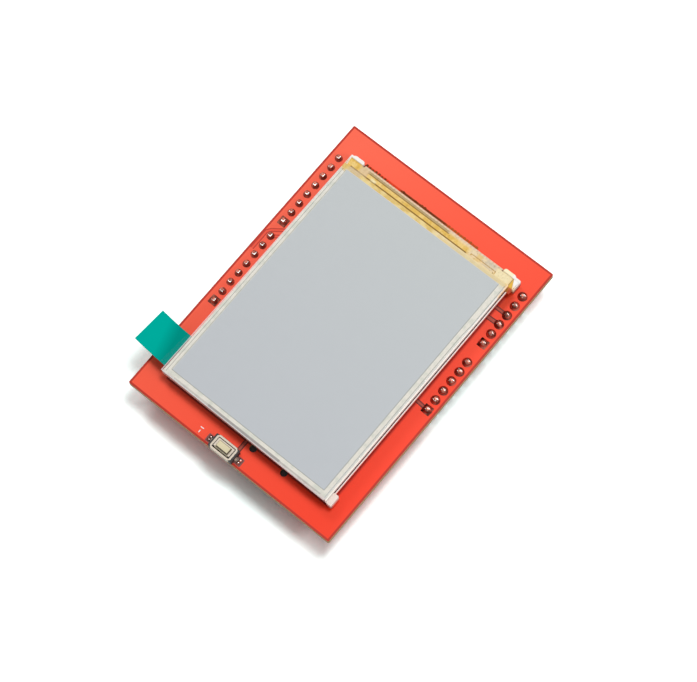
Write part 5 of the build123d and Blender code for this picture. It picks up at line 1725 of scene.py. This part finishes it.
back_masks = (mask["back tracks"], mask["faint gaps"])
back_tracks = lay_tracks("back_tracks", "back_track_gaps", BACK_PATHS, *back_masks, BOARD_BACK, -1)
round_plates("via_holes", VIA_HOLE, HOLE_HEIGHT, hole_shade)
round_plates("via_rims", VIA_RADIUS, VIA_HEIGHT, mask["back tracks"])
print("back track faces:", len(back_tracks.data.polygons))

# %% [markdown]
# ## Solder under the parts
#
# Every lead and end cap on the back sits on a tinned pad, and solder has crept up round its foot.
# The places of the feet are found on the solids: each loose part of a node gives the box of its
# points that lie close to the board. A pad is a thin plate, and the solder is a flat egg, so that
# only a rounded rim of it shows around the foot.

# %% Find the feet, build pads and solder
FOOT_DEPTH = 0.3
BACK_PAD_HEIGHT = 0.02
PAD_MARGIN = 0.22
SOLDER_MARGIN = 0.15
SOLDER_RISE = 0.17
SHELL_FEET = [(x, y) for x in (-1.21, 13.69) for y in (-42.2, -30.2)]
SHELL_FOOT_SIZE = (0.7, 1.4)


def loose_parts(name):
    """The points of each connected part of a solid."""
    bm = bmesh.new()
    bm.from_mesh(nodes[name].data)
    bmesh.ops.remove_doubles(bm, verts=bm.verts, dist=WELD)
    parts = []
    waiting = {v.index: v for v in bm.verts}
    while waiting:
        stack = [waiting.pop(min(waiting))]
        points = []
        while stack:
            vert = stack.pop()
            points.append(vert.co.copy())
            for edge in vert.link_edges:
                other = edge.other_vert(vert)
                if other.index in waiting:
                    stack.append(waiting.pop(other.index))
        parts.append(points)
    bm.free()
    return parts


def foot_boxes(name):
    """Middle and size, in mm, of each part's points that lie close to the back of the board."""
    boxes = []
    for points in loose_parts(name):
        near = [p for p in points if p.z > BOARD_BACK - FOOT_DEPTH * MM]
        low = [min(p[k] for p in near) / MM for k in (0, 1)]
        high = [max(p[k] for p in near) / MM for k in (0, 1)]
        boxes.append(((low[0] + high[0]) / 2, (low[1] + high[1]) / 2, high[0] - low[0], high[1] - low[1]))
    return boxes


def build_back_solder():
    pads = bmesh.new()
    rims = bmesh.new()
    feet = [(*place, *SHELL_FOOT_SIZE) for place in SHELL_FEET]
    for name in ("buffer_leads", "regulator_leads", "end_caps", "card_socket_contacts"):
        feet += foot_boxes(name)
    for x, y, width, length in feet:
        pad = rounded_rectangle(x, y, width + 2 * PAD_MARGIN, length + 2 * PAD_MARGIN, 0.06, 2)
        prism(pads, pad, BOARD_BACK - BACK_PAD_HEIGHT * MM, BOARD_BACK)
        sizes = (width / 2 + SOLDER_MARGIN, length / 2 + SOLDER_MARGIN, SOLDER_RISE)
        bead(rims, (x * MM, y * MM, BOARD_BACK), sizes, 0)
    piece("back_pads", pads, tin)
    piece("back_solder", rims, bright_solder, smooth=True)
    return feet


back_feet = build_back_solder()
print("soldered feet on the back:", len(back_feet))

# %% [markdown]
# ## Printed outlines on the back
#
# White ink marks where each part goes. Plain outlines are enough: a bracket at both ends of each
# chip with a dot at its first lead, a line at both ends of the regulator, a frame round the card
# socket's back and a line along each header.

# %% Build the printed outlines
CHIP_X = (-9.5, 9.5)
CHIP_SPAN_Y = (-10.75, 2.75)
CHIP_HALF = 3.85
BRACKET = 0.7
DOT_X = -4.6
DOT_SIZE = 0.5
SOCKET_OUTLINE = [(-2.1, -36.4), (-2.1, -26.9), (14.6, -26.9), (14.6, -36.4)]
REGULATOR_LINES = [[(-14.4, y), (-10.6, y)] for y in (-28.6, -21.4)]
# X, then the Y of both ends
HEADER_LINES = [(-22.5, 20.3, 1.5), (-22.5, -1.5, -20.3), (22.5, 20.3, 6.6), (22.5, 2.6, -11.2)]
INK_WIDTH = 0.16
INK_LOW = BOARD_BACK - 0.03 * MM


def back_outlines():
    lines = REGULATOR_LINES + [SOCKET_OUTLINE]
    for x in CHIP_X:
        left = x - CHIP_HALF
        right = x + CHIP_HALF
        for y, inward in zip(CHIP_SPAN_Y, (BRACKET, -BRACKET)):
            lines.append([(left, y + inward), (left, y), (right, y), (right, y + inward)])
    return lines + [[(x, start), (x, end)] for x, start, end in HEADER_LINES]


def build_back_outlines():
    bm = bmesh.new()
    for points in back_outlines():
        track(bm, points, INK_WIDTH, INK_LOW, BOARD_BACK)
    for x in CHIP_X:
        dot = rounded_rectangle(x + DOT_X, CHIP_SPAN_Y[1], DOT_SIZE, DOT_SIZE, DOT_SIZE / 2)
        prism(bm, dot, INK_LOW, BOARD_BACK)
    return piece("printed_outlines", bm, white_ink)


outlines = build_back_outlines()
print("outline faces:", len(outlines.data.polygons))
